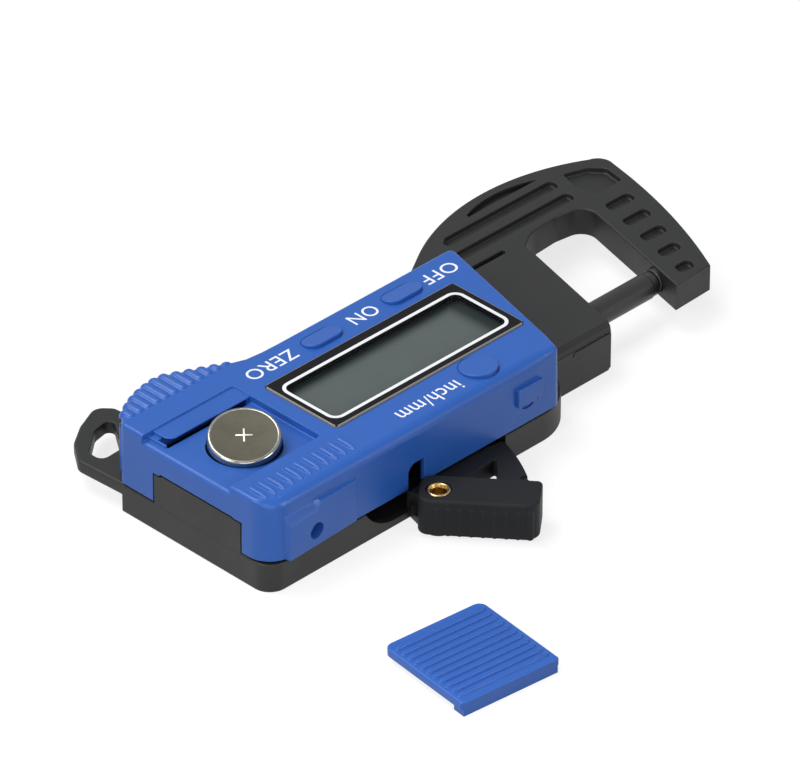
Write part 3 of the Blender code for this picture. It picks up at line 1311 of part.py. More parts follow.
def cover_part(made):
    """The ribbed battery cover, taken off and lying on its feet beside the gauge."""
    half = COVER_SIDE / 2
    low = COVER_FOOT
    high = COVER_FOOT + COVER_THICK
    outline = rounded(
        [
            (-half, -half, COVER_CORNER),
            (half, -half, COVER_CORNER),
            (half, half, 0.5),
            (-half, half, 0.5),
        ]
    )
    cover = prism("battery_cover", outline, low, high, top_edge=0.35)
    lip = prism(
        "battery_cover_lip",
        [(half - COVER_LIP, low - COVER_FOOT), (half, low - COVER_FOOT), (half, high - 0.9), (half - 0.9, high), (half - COVER_LIP, high)],
        -half + 0.4,
        half - 0.4,
        axis="X",
    )
    join(cover, lip)
    first = -half + COVER_FIRST_RIB
    last = half - COVER_LAST_RIB
    for i in range(COVER_RIBS):
        y = first + (last - first) * i / (COVER_RIBS - 1)
        ridge = half_round(
            f"battery_cover_rib_{i + 1}",
            (-half + COVER_RIB_MARGIN, y, high - 0.08),
            (half - COVER_RIB_MARGIN, y, high - 0.08),
            0.42,
        )
        join(cover, ridge)
    hook = block("battery_cover_hook", (half - 3.0, -half + 1.2, 0.0), (half - 2.4, half - COVER_LIP + 0.5, low + 0.3))
    tongue = block("battery_cover_tongue", (-half + 1.0, -half + 0.6, 0.0), (-half + 1.6, -half + 6.0, low + 0.3))
    join(cover, hook, tongue)
    paint(cover, made)
    cover.location = Vector((*COVER_CENTRE, 0.0)) * MM
    cover.rotation_euler = (0.0, 0.0, COVER_TURN)
    bpy.context.view_layer.update()
    for step in cover.modifiers:
        step.object.parent = cover
    return cover


def main():
    """Builds the gauge piece by piece."""
    clear_scene()
    blue = finish("blue_plastic", BLUE, 0.42)
    black = finish("black_composite", BLACK, 0.6)
    steel = finish("steel", STEEL, 0.3, 1.0)
    brass = finish("brass", BRASS, 0.3, 1.0)
    gold = finish("contact_gold", GOLD, 0.35, 1.0)
    board_green = finish("board_green", BOARD_GREEN, 0.5)
    rubber = finish("rubber", RUBBER, 0.8)
    frame_part(black)
    housing_part(blue)
    display_parts(
        finish("lens_black", LENS_BLACK, 0.08),
        finish("display_glass", GREY_GLASS, 0.2),
        rubber,
        board_green,
        finish("chip_epoxy", BLACK, 0.4),
        gold,
    )
    button_parts(blue)
    cell_parts(steel, gold)
    spindle_parts(black, steel, black, board_green, steel)
    lever_part(black, brass)
    screw_parts(steel)
    cover_part(blue)


main()
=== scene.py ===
"""Looks of the digital thickness gauge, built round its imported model.

Distances in the dataclasses are millimetres in the model's own frame: X runs from the jaw to the
battery end, Y from the finger grip to the thumb lever, and Z up from the bench.
"""

import logging
import math
from dataclasses import dataclass, field
from enum import Enum

import bmesh
import bpy
from mathutils import Matrix, Vector


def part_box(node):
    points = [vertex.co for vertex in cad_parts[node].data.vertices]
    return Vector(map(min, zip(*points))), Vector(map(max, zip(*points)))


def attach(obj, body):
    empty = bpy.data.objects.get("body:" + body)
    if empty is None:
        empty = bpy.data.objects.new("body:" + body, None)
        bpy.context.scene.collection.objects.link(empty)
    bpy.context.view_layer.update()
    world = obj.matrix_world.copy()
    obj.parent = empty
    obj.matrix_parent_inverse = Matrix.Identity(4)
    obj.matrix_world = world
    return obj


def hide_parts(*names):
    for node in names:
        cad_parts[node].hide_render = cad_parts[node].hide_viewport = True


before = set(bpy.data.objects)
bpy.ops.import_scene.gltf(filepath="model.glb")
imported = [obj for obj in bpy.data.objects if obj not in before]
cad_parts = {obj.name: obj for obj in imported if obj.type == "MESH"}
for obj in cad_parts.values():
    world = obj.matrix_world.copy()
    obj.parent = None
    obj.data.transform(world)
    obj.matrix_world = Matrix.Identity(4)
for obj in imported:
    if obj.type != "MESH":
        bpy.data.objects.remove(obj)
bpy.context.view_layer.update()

MM = 0.001
LOG = logging.getLogger("gauge")
Flat = tuple[float, float]
Outline = list[Flat]
Socket = bpy.types.NodeSocket
Piece = bpy.types.Object


class Axis(Enum):
    """The direction along which an outline is raised into a body."""

    X = "X"
    Y = "Y"
    Z = "Z"

    def point(self, across: float, along: float, height: float) -> Vector:
        """Puts an outline's point and its height on the model's axes."""
        if self is Axis.X:
            return Vector((height, across, along))
        if self is Axis.Y:
            return Vector((across, height, along))
        return Vector((across, along, height))


class Label(Enum):
    """The plain words printed beside the keys."""

    OFF = "OFF"
    ON = "ON"
    ZERO = "ZERO"
    UNIT = "inch/mm"


# Outlines


def arc(centre: Flat, radius: float, start: float, end: float, steps: int) -> Outline:
    """Points along an arc.

    Args:
        centre: the arc's centre.
        radius: its radius.
        start: the first angle in degrees.
        end: the last angle in degrees.
        steps: how many chords it gets.

    Returns:
        The points in order, both ends included.
    """
    angles = [math.radians(start + (end - start) * i / steps) for i in range(steps + 1)]
    return [(centre[0] + radius * math.cos(a), centre[1] + radius * math.sin(a)) for a in angles]


def arc_through(first: Flat, middle: Flat, last: Flat, steps: int) -> Outline:
    """Points on the circular arc through three points.

    Args:
        first: where the arc starts.
        middle: a point on it.
        last: where it ends.
        steps: how many chords it gets.

    Returns:
        The points in order, both ends included.
    """
    ax, ay = first
    bx, by = middle
    cx, cy = last
    d = 2 * (ax * (by - cy) + bx * (cy - ay) + cx * (ay - by))
    a2 = ax * ax + ay * ay
    b2 = bx * bx + by * by
    c2 = cx * cx + cy * cy
    ox = (a2 * (by - cy) + b2 * (cy - ay) + c2 * (ay - by)) / d
    oy = (a2 * (cx - bx) + b2 * (ax - cx) + c2 * (bx - ax)) / d
    radius = math.hypot(ax - ox, ay - oy)
    start = math.degrees(math.atan2(ay - oy, ax - ox))
    end = math.degrees(math.atan2(cy - oy, cx - ox))
    turn = 1 if d > 0 else -1
    while (end - start) * turn <= 0:
        end += 360 * turn
    return arc((ox, oy), radius, start, end, steps)


def rounded(corners: list[tuple[float, float, float]], steps: int = 6) -> Outline:
    """A closed outline whose corners are replaced by arcs.

    Args:
        corners: x, y and radius of each corner, in order.
        steps: chords for each rounded corner.

    Returns:
        The outline's points.
    """
    outline: Outline = []
    count = len(corners)
    for i, (x, y, radius) in enumerate(corners):
        here = Vector((x, y))
        before = Vector(corners[i - 1][:2])
        after = Vector(corners[(i + 1) % count][:2])
        to_before = (before - here).normalized()
        to_after = (after - here).normalized()
        half = math.acos(max(-1.0, min(1.0, to_before.dot(to_after)))) / 2
        if radius <= 0 or half > math.radians(89.5):
            outline.append((x, y))
            continue
        reach = radius / math.tan(half)
        room = 0.49 * min((before - here).length, (after - here).length)
        if reach > room:
            reach = room
            radius = reach * math.tan(half)
        middle = here + (to_before + to_after).normalized() * (radius / math.sin(half))
        start = here + to_before * reach
        end = here + to_after * reach
        a0 = math.atan2(start.y - middle.y, start.x - middle.x)
        a1 = math.atan2(end.y - middle.y, end.x - middle.x)
        sweep = (a1 - a0 + math.pi) % (2 * math.pi) - math.pi
        for k in range(steps + 1):
            a = a0 + sweep * k / steps
            outline.append((middle.x + radius * math.cos(a), middle.y + radius * math.sin(a)))
    return outline


def tidied(outline: Outline, shortest: float = 0.01) -> Outline:
    """The outline without points that lie on top of the one before."""
    kept: Outline = []
    for point in outline:
        if not kept or math.dist(point, kept[-1]) > shortest:
            kept.append(point)
    while math.dist(kept[0], kept[-1]) <= shortest:
        kept.pop()
    return kept


def divided(outline: Outline, longest: float) -> Outline:
    """The outline with extra points, so that no side is longer than a length."""
    points: Outline = []
    for (x0, y0), (x1, y1) in zip(outline, outline[1:] + outline[:1]):
        parts = max(1, math.ceil(math.dist((x0, y0), (x1, y1)) / longest))
        points += [(x0 + (x1 - x0) * k / parts, y0 + (y1 - y0) * k / parts) for k in range(parts)]
    return points


def grown(outline: Outline, distance: float | list[float]) -> Outline:
    """The outline moved outwards, or inwards where the distance is negative.

    Args:
        outline: the closed outline.
        distance: one distance, or one for each point.

    Returns:
        As many points as the outline has.
    """
    count = len(outline)
    distances = distance if isinstance(distance, list) else [distance] * count
    area = sum(x0 * y1 - x1 * y0 for (x0, y0), (x1, y1) in zip(outline, outline[1:] + outline[:1]))
    side = 1 if area > 0 else -1
    moved: Outline = []
    for i, point in enumerate(outline):
        here = Vector(point)
        before = (here - Vector(outline[i - 1])).normalized()
        after = (Vector(outline[(i + 1) % count]) - here).normalized()
        normal_before = Vector((before.y, -before.x)) * side
        normal_after = Vector((after.y, -after.x)) * side
        joined = normal_before + normal_after
        scale = distances[i] / max(0.3, joined.length_squared / 2)
        moved.append(tuple(here + joined * scale))
    return moved


def shrunk(outline: Outline, distance: float) -> Outline:
    """The outline moved inwards, without the points that come too close to it."""
    sides = [(Vector(a), Vector(b)) for a, b in zip(outline, outline[1:] + outline[:1])]
    kept: Outline = []
    for point in grown(outline, -distance):
        here = Vector(point)
        nearest = 1e9
        for a, b in sides:
            along = (here - a).dot(b - a) / (b - a).length_squared
            foot = a + (b - a) * max(0.0, min(1.0, along))
            nearest = min(nearest, (here - foot).length)
        if nearest > 0.998 * distance:
            kept.append(point)
    return tidied(kept)


def stadium(centre: Flat, length: float, width: float, steps: int = 20) -> Outline:
    """A slot-shaped outline along X."""
    half = (length - width) / 2
    right = arc((centre[0] + half, centre[1]), width / 2, -90, 90, steps)
    left = arc((centre[0] - half, centre[1]), width / 2, 90, 270, steps)
    return right + left


def circle(centre: Flat, radius: float, sides: int = 48) -> Outline:
    """A closed round outline."""
    return arc(centre, radius, 0, 360, sides)[:-1]


def rectangle(low: Flat, high: Flat, radius: float = 0.0, steps: int = 6) -> Outline:
    """A rectangle between two corners, with its corners rounded."""
    corners = [low, (high[0], low[1]), high, (low[0], high[1])]
    return rounded([(x, y, radius) for x, y in corners], steps)


def around(centre: Flat, half_x: float, half_y: float, radius: float = 0.0, steps: int = 6) -> Outline:
    """A rectangle about a centre, with its corners rounded."""
    x, y = centre
    return rectangle((x - half_x, y - half_y), (x + half_x, y + half_y), radius, steps)


def eased(value: float, low: float, high: float) -> float:
    """A smooth step from 0 at the low value to 1 at the high one."""
    t = max(0.0, min(1.0, (value - low) / (high - low)))
    return t * t * (3 - 2 * t)


# Modelling by hand


def select_only(*pieces: Piece) -> None:
    """Selects these pieces alone, the first one active."""
    bpy.ops.object.select_all(action="DESELECT")
    for piece in pieces:
        piece.select_set(True)
    if pieces:
        bpy.context.view_layer.objects.active = pieces[0]


def named(piece: Piece, name: str) -> Piece:
    """Gives a piece and its mesh one name."""
    piece.name = name
    piece.data.name = name
    return piece


def close_up(piece: Piece) -> Piece:
    """Merges a piece's doubles and turns its faces outwards."""
    select_only(piece)
    bpy.ops.object.mode_set(mode="EDIT")
    bpy.ops.mesh.select_all(action="SELECT")
    bpy.ops.mesh.remove_doubles(threshold=0.000001)
    bpy.ops.mesh.normals_make_consistent(inside=False)
    if bmesh.from_edit_mesh(piece.data).calc_volume(signed=True) < 0:
        bpy.ops.mesh.flip_normals()
    bpy.ops.object.mode_set(mode="OBJECT")
    return piece


def loft(name: str, rings: list[list[Vector]]) -> Piece:
    """A closed body drawn as one ring and extruded through the others.

    Args:
        name: the piece's name.
        rings: rings of as many points each, in millimetres, from one end to the other.

    Returns:
        The piece, its place in its mesh.
    """
    bpy.ops.object.select_all(action="DESELECT")
    bpy.ops.mesh.primitive_circle_add(vertices=len(rings[0]), radius=MM, fill_type="NGON")
    piece = named(bpy.context.object, name)
    places = piece.data.attributes.new("place", "INT", "POINT")
    for i, (vertex, point) in enumerate(zip(piece.data.vertices, rings[0])):
        vertex.co = point * MM
        places.data[i].value = i
    bpy.ops.object.mode_set(mode="EDIT")
    bpy.ops.mesh.select_all(action="SELECT")
    for ring in rings[1:]:
        bpy.ops.mesh.extrude_region_move(TRANSFORM_OT_translate={"value": (0, 0, MM)})
        shape = bmesh.from_edit_mesh(piece.data)
        layer = shape.verts.layers.int["place"]
        for vertex in shape.verts:
            if vertex.select:
                vertex.co = ring[vertex[layer]] * MM
        bmesh.update_edit_mesh(piece.data)
    bpy.ops.object.mode_set(mode="OBJECT")
    piece.data.attributes.remove(piece.data.attributes["place"])
    return close_up(piece)


def moulding(
    name: str, outline: Outline, low: float, high: float, rim: float | list[float] = 0.0, foot: float = 0.0,
    draft: float = 0.0, axis: Axis = Axis.Z, steps: int = 4
) -> Piece:
    """A body raised on an outline, with its upper and lower edges rounded.

    Args:
        name: the piece's name.
        outline: its outline at the foot.
        low: where it starts along the axis.
        high: where it ends.
        rim: the upper edge's radius, or one for each point of the outline.
        foot: the lower edge's radius.
        draft: how far the walls lean in at the top.
        axis: the direction it is raised along.
        steps: chords in each rounded edge.

    Returns:
        The closed piece.
    """
    levels: list[tuple[list[float], list[float]]] = []
    count = len(outline)
    rims = rim if isinstance(rim, list) else [rim] * count
    if foot > 0:
        for k in range(steps + 1):
            t = math.radians(90 * k / steps)
            levels.append(([foot * (1 - math.sin(t))] * count, [low + foot * (1 - math.cos(t))] * count))
    else:
        levels.append(([0.0] * count, [low] * count))
    if max(rims) > 0:
        for k in range(steps + 1):
            t = math.radians(90 * k / steps)
            inset = [draft + r * (1 - math.cos(t)) for r in rims]
            levels.append((inset, [high - r * (1 - math.sin(t)) for r in rims]))
    else:
        levels.append(([draft] * count, [high] * count))
    rings = []
    for insets, heights in levels:
        flat = grown(outline, [-inset for inset in insets]) if max(insets) > 0 else outline
        rings.append([axis.point(u, v, w) for (u, v), w in zip(flat, heights)])
    return loft(name, rings)


def hollow(
    name: str, outline: Outline, floor: float, top: float, lip: float = 0.1, fillet: float = 0.0,
    beyond: float = 1.0, axis: Axis = Axis.Z
) -> Piece:
    """A cutter for a recess, which leaves its mouth eased and its floor's edge rounded.

    Args:
        name: the cutter's name.
        outline: the recess seen from its open side.
        floor: the height of its floor.
        top: the surface it is cut into.
        lip: the size of the eased edge at the surface.
        fillet: the radius along the floor.
        beyond: how far the cutter stands out of the surface.
        axis: the direction it is raised along.

    Returns:
        The cutter.
    """
    turn = 1 if top > floor else -1
    levels = []
    if fillet > 0:
        for k in range(4):
            t = math.radians(90 * k / 3)
            levels.append((-fillet * (1 - math.sin(t)), floor + turn * fillet * (1 - math.cos(t))))
    else:
        levels.append((0.0, floor))
    levels += [(0.0, top - turn * lip), (0.3 * lip, top - turn * 0.3 * lip), (lip, top)]
    levels.append((lip + 0.01, top + turn * beyond))
    rings = []
    for out, height in levels:
        flat = grown(outline, out) if out else outline
        rings.append([axis.point(u, v, height) for u, v in flat])
    return loft(name, rings)


def turned(name: str, profile: list[Flat], foot: Vector, way: Vector, steps: int = 64) -> Piece:
    """A round part spun from its half section.

    Args:
        name: the piece's name.
        profile: the closed half section as radius and height in millimetres.
        foot: where its height is zero.
        way: the direction its height runs in.
        steps: how many sides the spin gets.

    Returns:
        The closed piece.
    """
    bpy.ops.object.select_all(action="DESELECT")
    bpy.ops.mesh.primitive_circle_add(vertices=len(profile), radius=MM, fill_type="NOTHING")
    piece = named(bpy.context.object, name)
    for vertex, (radius, height) in zip(piece.data.vertices, profile):
        vertex.co = Vector((radius, 0, height)) * MM
    bpy.ops.object.mode_set(mode="EDIT")
    bpy.ops.mesh.select_all(action="SELECT")
    bpy.ops.mesh.spin(steps=steps, angle=2 * math.pi, center=(0, 0, 0), axis=(0, 0, 1))
    bpy.ops.object.mode_set(mode="OBJECT")
    turn = way.normalized().to_track_quat("Z", "Y").to_matrix().to_4x4()
    piece.data.transform(Matrix.Translation(foot * MM) @ turn)
    return close_up(piece)


def swept(name: str, path: list[Vector], radii: list[float], sides: int = 12) -> Piece:
    """A round bar along a path, with its own radius at each point."""
    rings = []
    for i, point in enumerate(path):
        ahead = path[min(i + 1, len(path) - 1)] - path[max(i - 1, 0)]
        turn = ahead.normalized().to_track_quat("Z", "X")
        ring = []
        for k in range(sides):
            a = 2 * math.pi * k / sides
            ring.append(point + turn @ Vector((math.cos(a), math.sin(a), 0)) * radii[i])
        rings.append(ring)
    return loft(name, rings)


def finished_with(piece: Piece, kind: str, **settings: object) -> Piece:
    """Adds a modifier with its settings and applies it."""
    select_only(piece)
    step = piece.modifiers.new("step", kind)
    for key, value in settings.items():
        setattr(step, key, value)
    bpy.ops.object.modifier_apply(modifier=step.name)
    return piece


def gathered(name: str, *pieces: Piece) -> Piece:
    """Joins pieces into one mesh without changing their surfaces."""
    select_only(*pieces)
    bpy.ops.object.join()
    return named(bpy.context.object, name)


def combined(piece: Piece, operation: str, tools: tuple[Piece, ...]) -> Piece:
    """Runs one boolean for each tool and throws the tools away."""
    for tool in tools:
        finished_with(piece, "BOOLEAN", operation=operation, solver="EXACT", object=tool)
        bpy.data.objects.remove(tool)
    return piece


def carved(piece: Piece, *tools: Piece) -> Piece:
    """Cuts the tools out of a piece."""
    return combined(piece, "DIFFERENCE", tools)


def welded(piece: Piece, *tools: Piece) -> Piece:
    """Fuses the tools into a piece."""
    return combined(piece, "UNION", tools)


def copied(piece: Piece, name: str, shift: Vector) -> Piece:
    """A copy of a piece with its own mesh, moved by a shift in millimetres."""
    twin = piece.copy()
    twin.data = piece.data.copy()
    bpy.context.scene.collection.objects.link(twin)
    twin.data.transform(Matrix.Translation(shift * MM))
    return named(twin, name)


# Finishes


def linear(colour: str) -> tuple[float, float, float, float]:
    """Turns an sRGB hex value into a linear colour."""
    parts = [int(colour[i : i + 2], 16) / 255 for i in (1, 3, 5)]
    made = [c / 12.92 if c <= 0.04045 else ((c + 0.055) / 1.055) ** 2.4 for c in parts]
    return (*made, 1.0)


def add_node(
    tree: bpy.types.NodeTree, kind: str, values: dict | None = None, links: dict | None = None,
    **settings: object
) -> bpy.types.Node:
    """Adds a node.

    Args:
        tree: the material's node tree.
        kind: the node's type.
        values: fixed values by input name or number.
        links: output sockets by input name or number.
        settings: the node's own properties.

    Returns:
        The node.
    """
    made = tree.nodes.new(kind)
    for key, value in settings.items():
        setattr(made, key, value)
    for key, value in (values or {}).items():
        made.inputs[key].default_value = value
    for key, source in (links or {}).items():
        tree.links.new(source, made.inputs[key])
    return made


@dataclass(frozen=True)
class Recipe:
    """One material's nodes, put together step by step, with sizes and depths in millimetres."""

    tree: bpy.types.NodeTree
    shader: bpy.types.Node

    def feed(self, name: str, source: Socket) -> None:
        """Leads a socket into one of the shader's inputs."""
        self.tree.links.new(source, self.shader.inputs[name])

    def place(self) -> Socket:
        """Where a point lies on its piece."""
        return add_node(self.tree, "ShaderNodeTexCoord").outputs["Object"]

    def noise(self, where: Socket, size: float, detail: float, **more: float) -> Socket:
        """Clouds of a given size."""
        values = {"Scale": 1 / (size * MM), "Detail": detail, **more}
        return add_node(self.tree, "ShaderNodeTexNoise", values, {"Vector": where}).outputs["Fac"]

    def ramp(self, value: Socket, span: Flat, to: Flat = (0.0, 1.0), **settings: object) -> Socket:
        """Maps one span of a value onto another span."""
        values = {"From Min": span[0], "From Max": span[1], "To Min": to[0], "To Max": to[1]}
        made = add_node(self.tree, "ShaderNodeMapRange", values, {"Value": value}, **settings)
        return made.outputs["Result"]

    def mixed(self, factor: Socket, under: str | Socket, over: str, **settings: object) -> Socket:
        """Lays a colour over another colour, or over what a socket gives."""
        values = {"B": linear(over)}
        links = {"Factor": factor}
        if isinstance(under, str):
            values["A"] = linear(under)
        else:
            links["A"] = under
        made = add_node(self.tree, "ShaderNodeMix", values, links, data_type="RGBA", **settings)
        return made.outputs["Result"]

    def math(self, kind: str, links: dict, values: dict | None = None) -> Socket:
        """One step of arithmetic."""
        return add_node(self.tree, "ShaderNodeMath", values, links, operation=kind).outputs["Value"]

    def bump(self, height: Socket, strength: float, depth: float, normal: Socket | None = None) -> None:
        """Raises the surface by a height, as seen by the shader."""
        links = {"Height": height}
        if normal is not None:
            links["Normal"] = normal
        values = {"Strength": strength, "Distance": depth * MM}
        self.feed("Normal", add_node(self.tree, "ShaderNodeBump", values, links).outputs["Normal"])


@dataclass(frozen=True)
class Finish:
    """What every finish has: its name, its slot in the record and its base colour."""

    name: str
    slot: str
    colour: str
    roughness: float = 0.45
    metallic: float = 0.0
    gloss: float = 0.4

    def material(self) -> bpy.types.Material:
        """The material, made once."""
        found = bpy.data.materials.get(self.name)
        if found:
            return found
        made = bpy.data.materials.new(self.name)
        made.use_nodes = True
        made.diffuse_color = linear(self.colour)
        tree = made.node_tree
        tree.nodes.clear()
        values = {"Base Color": linear(self.colour), "Roughness": self.roughness, "Metallic": self.metallic}
        if self.metallic == 0.0:
            values["Specular IOR Level"] = self.gloss
        shader = add_node(tree, "ShaderNodeBsdfPrincipled", values)
        add_node(tree, "ShaderNodeOutputMaterial", links={"Surface": shader.outputs["BSDF"]})
        self.dress(Recipe(tree, shader))
        return made

    def dress(self, recipe: Recipe) -> None:
        """Adds what this finish shows beyond its colour."""


@dataclass(frozen=True)
class Moulded(Finish):
    """Injection-moulded plastic: a fine grain from the tool, faint flow mottling, dust, and edges painted
    lighter, partly rubbed wear and partly a painted highlight.
    """

    mottle: str = "#000000"
    # The edges' lighter colour: partly rubbed wear, partly a painted highlight
    edge: str = "#ffffff"
    speck: str = "#ffffff"
    grain: float = 0.22
    grain_depth: float = 0.008
    specks: float = 0.5
    sheen_spread: float = 0.05
    edge_radius: float = 0.14
    speck_spacing: float = 3.2

    def dress(self, recipe: Recipe) -> None:
        """Adds mottling, edges painted lighter for wear and highlight, specks and grain."""
        tree = recipe.tree
        place = recipe.place()
        clouds = recipe.noise(place, 9, 3.0, Roughness=0.55)
        tone = recipe.mixed(clouds, self.colour, self.mottle)
        # A rounded edge, finer than the meshes carry, bends the normals; the same mask paints the edges
        # lighter, partly rubbed wear and partly a painted highlight
        rounding = {"Radius": self.edge_radius * MM}
        soft = add_node(tree, "ShaderNodeBevel", rounding, samples=4).outputs["Normal"]
        true_normal = add_node(tree, "ShaderNodeNewGeometry").outputs["True Normal"]
        sides = {0: soft, 1: true_normal}
        facing = add_node(tree, "ShaderNodeVectorMath", links=sides, operation="DOT_PRODUCT")
        wear_and_highlight_mask = recipe.ramp(facing.outputs["Value"], (0.995, 0.80), (0.0, 0.55))
        wear_and_highlight_tone = recipe.mixed(wear_and_highlight_mask, tone, self.edge)
        # The dust specks are 0.1 to 0.2 mm across, and one falls in each cell of the spacing
        cells = {"Scale": 1 / (self.speck_spacing * MM), "Randomness": 1.0}
        dots = add_node(tree, "ShaderNodeTexVoronoi", cells, {"Vector": place}, feature="F1")
        dust = recipe.ramp(dots.outputs["Distance"], (0.035, 0.015), (0.0, self.specks))
        recipe.feed("Base Color", recipe.mixed(dust, wear_and_highlight_tone, self.speck))
        sheen = (self.roughness - self.sheen_spread, self.roughness + self.sheen_spread)
        recipe.feed("Roughness", recipe.ramp(clouds, (0.3, 0.7), sheen))
        # The tool's spark grain is about 0.05 mm; it is drawn coarser so that it shows
        recipe.bump(recipe.noise(place, self.grain, 2.0), 0.6, self.grain_depth, soft)


@dataclass(frozen=True)
class Ink(Finish):
    """Pad-printed ink: a thin matt film with small pinholes where it thins."""

    thin: str = "#c8d0e0"

    def dress(self, recipe: Recipe) -> None:
        """Lets the film's density wander a little."""
        film = recipe.noise(recipe.place(), 0.6, 3.0)
        density = recipe.ramp(film, (0.62, 0.8))
        recipe.feed("Base Color", recipe.mixed(density, self.colour, self.thin))
        recipe.bump(film, 0.3, 0.004)


@dataclass(frozen=True)
class Glazing(Finish):
    """Clear or back-printed acrylic: polished, with hairline scratches from wiping."""

    alpha: float = 1.0
    scratch: float = 0.25

    def dress(self, recipe: Recipe) -> None:
        """Adds wiping scratches and, where it is clear, lets the light through."""
        recipe.shader.inputs["IOR"].default_value = 1.49
        recipe.shader.inputs["Alpha"].default_value = self.alpha
        wiping = {"Rotation": (0, 0, 0.5), "Scale": (1, 22, 1)}
        slant = add_node(recipe.tree, "ShaderNodeMapping", wiping, {"Vector": recipe.place()})
        hair = recipe.noise(slant.outputs["Vector"], 3.5, 4.0)
        sheen = (self.roughness, self.roughness + self.scratch)
        recipe.feed("Roughness", recipe.ramp(hair, (0.5, 0.75), sheen))
        recipe.bump(hair, 0.15, 0.003)


@dataclass(frozen=True)
class CrystalPanel(Finish):
    """The display's polarised glass: grey-green, darker where the border shades it."""

    shaded: str = "#333d3c"
    half_length: float = 18.0
    half_width: float = 5.7

    def dress(self, recipe: Recipe) -> None:
        """Adds the shade along the border and the film's faint unevenness."""
        place = recipe.place()
        axes = add_node(recipe.tree, "ShaderNodeSeparateXYZ", links={"Vector": place}).outputs
        # The far and jaw sides of the opening stand between the glass and the light
        far = (-self.half_width * MM, (-self.half_width + 3.0) * MM)
        jaw = ((-self.half_length - 0.2) * MM, (-self.half_length + 3.2) * MM)
        from_far = recipe.ramp(axes["Y"], far, (1.0, 0.0), interpolation_type="SMOOTHSTEP")
        from_jaw = recipe.ramp(axes["X"], jaw, (1.0, 0.0), interpolation_type="SMOOTHSTEP")
        both = recipe.math("MAXIMUM", {0: from_far, 1: from_jaw})
        film = recipe.noise(place, 7, 4.0)
        shade = recipe.math("MULTIPLY_ADD", {0: film, 2: both}, {1: 0.22})
        tone = recipe.mixed(shade, self.colour, self.shaded, clamp_factor=True)
        recipe.feed("Base Color", tone)
        recipe.bump(film, 0.1, 0.01)


@dataclass(frozen=True)
class Metal(Finish):
    """Worked metal: drawn, rolled or plated, with hairlines along one way and a little tarnish."""

    tarnish: str = "#000000"
    hairline: float = 0.72
    way: tuple[float, float, float] = (1.0, 14.0, 1.0)
    depth: float = 0.003

    def dress(self, recipe: Recipe) -> None:
        """Adds hairlines and tarnish."""
        place = recipe.place()
        drawn = add_node(recipe.tree, "ShaderNodeMapping", {"Scale": self.way}, {"Vector": place})
        lines = recipe.noise(drawn.outputs["Vector"], self.hairline, 5.0, Roughness=0.6)
        aged = recipe.ramp(recipe.noise(place, 2.5, 3.0), (0.45, 0.8))
        recipe.feed("Base Color", recipe.mixed(aged, self.colour, self.tarnish))
        sheen = (max(0.02, self.roughness - 0.08), self.roughness + 0.1)
        recipe.feed("Roughness", recipe.ramp(lines, (0.3, 0.7), sheen))
        recipe.bump(lines, 0.35, self.depth)


BLUE_ABS = Moulded(
    "moulded_blue_abs", "blue_plastic", "#285eb5", roughness=0.36, mottle="#285aab", edge="#5f88d2",
    speck="#9db4e6"
)
BLACK_NYLON = Moulded(
    "moulded_black_glass_filled_nylon", "black_composite", "#232322", roughness=0.5, mottle="#1d1d1c",
    edge="#4a4a45", speck="#6a6962", grain=0.28, grain_depth=0.014, specks=0.35
)
LEVER_NYLON = Moulded(
    "matt_lever_nylon", "black_composite", "#1b1c1e", roughness=0.62, mottle="#17181a", edge="#3a3b3c",
    speck="#55565a", gloss=0.22
)
SPINDLE_COMPOSITE = Moulded(
    "ground_carbon_composite", "black_composite", "#30302d", roughness=0.38, mottle="#2b2c2a",
    edge="#5a5a55", speck="#50504c", grain=0.16, grain_depth=0.004, specks=0.1
)
WHITE_INK = Ink("pad_printed_white_ink", "blue_plastic", "#f2f4f8", roughness=0.5)
LINE_INK = Ink("screen_printed_white_line", "lens_plastic", "#eef0f2", roughness=0.22, thin="#e2e5e8")
BORDER_ACRYLIC = Glazing("black_backed_acrylic", "lens_plastic", "#101013", roughness=0.08, gloss=0.15)
# The border's bevelled edge is coloured light grey, a painted highlight
EDGE_HIGHLIGHT_ACRYLIC = Glazing("acrylic_edge_painted_highlight", "lens_plastic", "#8a8782", roughness=0.12)
CLEAR_ACRYLIC = Glazing("clear_window_acrylic", "lens_plastic", "#0c0e0d", roughness=0.04, alpha=0.10)
CRYSTAL = CrystalPanel("liquid_crystal_glass", "display_glass", "#6a7572", roughness=0.3)
# The cell's flat top: the can's nickel painted darker, painted shade
CELL_TOP_PAINTED_SHADE = Metal(
    "brushed_cell_nickel_painted_shade", "cell_steel", "#59564c", roughness=0.34, metallic=1.0, tarnish="#514e44",
    way=(1.0, 9.0, 1.0)
)
CELL_RIM = Metal(
    "rolled_cell_rim", "cell_steel", "#a9a7a0", roughness=0.18, metallic=1.0, tarnish="#94928a"
)
CELL_MARK = Metal(
    "stamped_cell_mark", "cell_steel", "#efece2", roughness=0.3, metallic=0.6, tarnish="#dedacd"
)
BRASS = Metal("drawn_brass", "brass", "#d8bd84", roughness=0.24, metallic=1.0, tarnish="#b39458")
STEEL = Metal("plated_screw_steel", "steel", "#b9babb", roughness=0.28, metallic=1.0, tarnish="#8f9090")
SPRING_STEEL = Metal(
    "bright_spring_wire", "contact_metal", "#c9c6bb", roughness=0.22, metallic=1.0, tarnish="#a39f93"
)
BOARD_MASK = Moulded(
    "green_solder_mask", "board", "#1d6b3c", roughness=0.3, mottle="#185a33", edge="#b9a76a", speck="#c9b878"
)
RUBBER = Moulded(
    "conductive_rubber", "rubber", "#4b4c50", roughness=0.75, mottle="#3f4044", edge="#5d5e62",
    speck="#66676b"
)
EPOXY = Moulded(
    "potting_epoxy", "epoxy", "#1b1b1d", roughness=0.2, mottle="#141416", edge="#2c2c30", speck="#38383c"
)


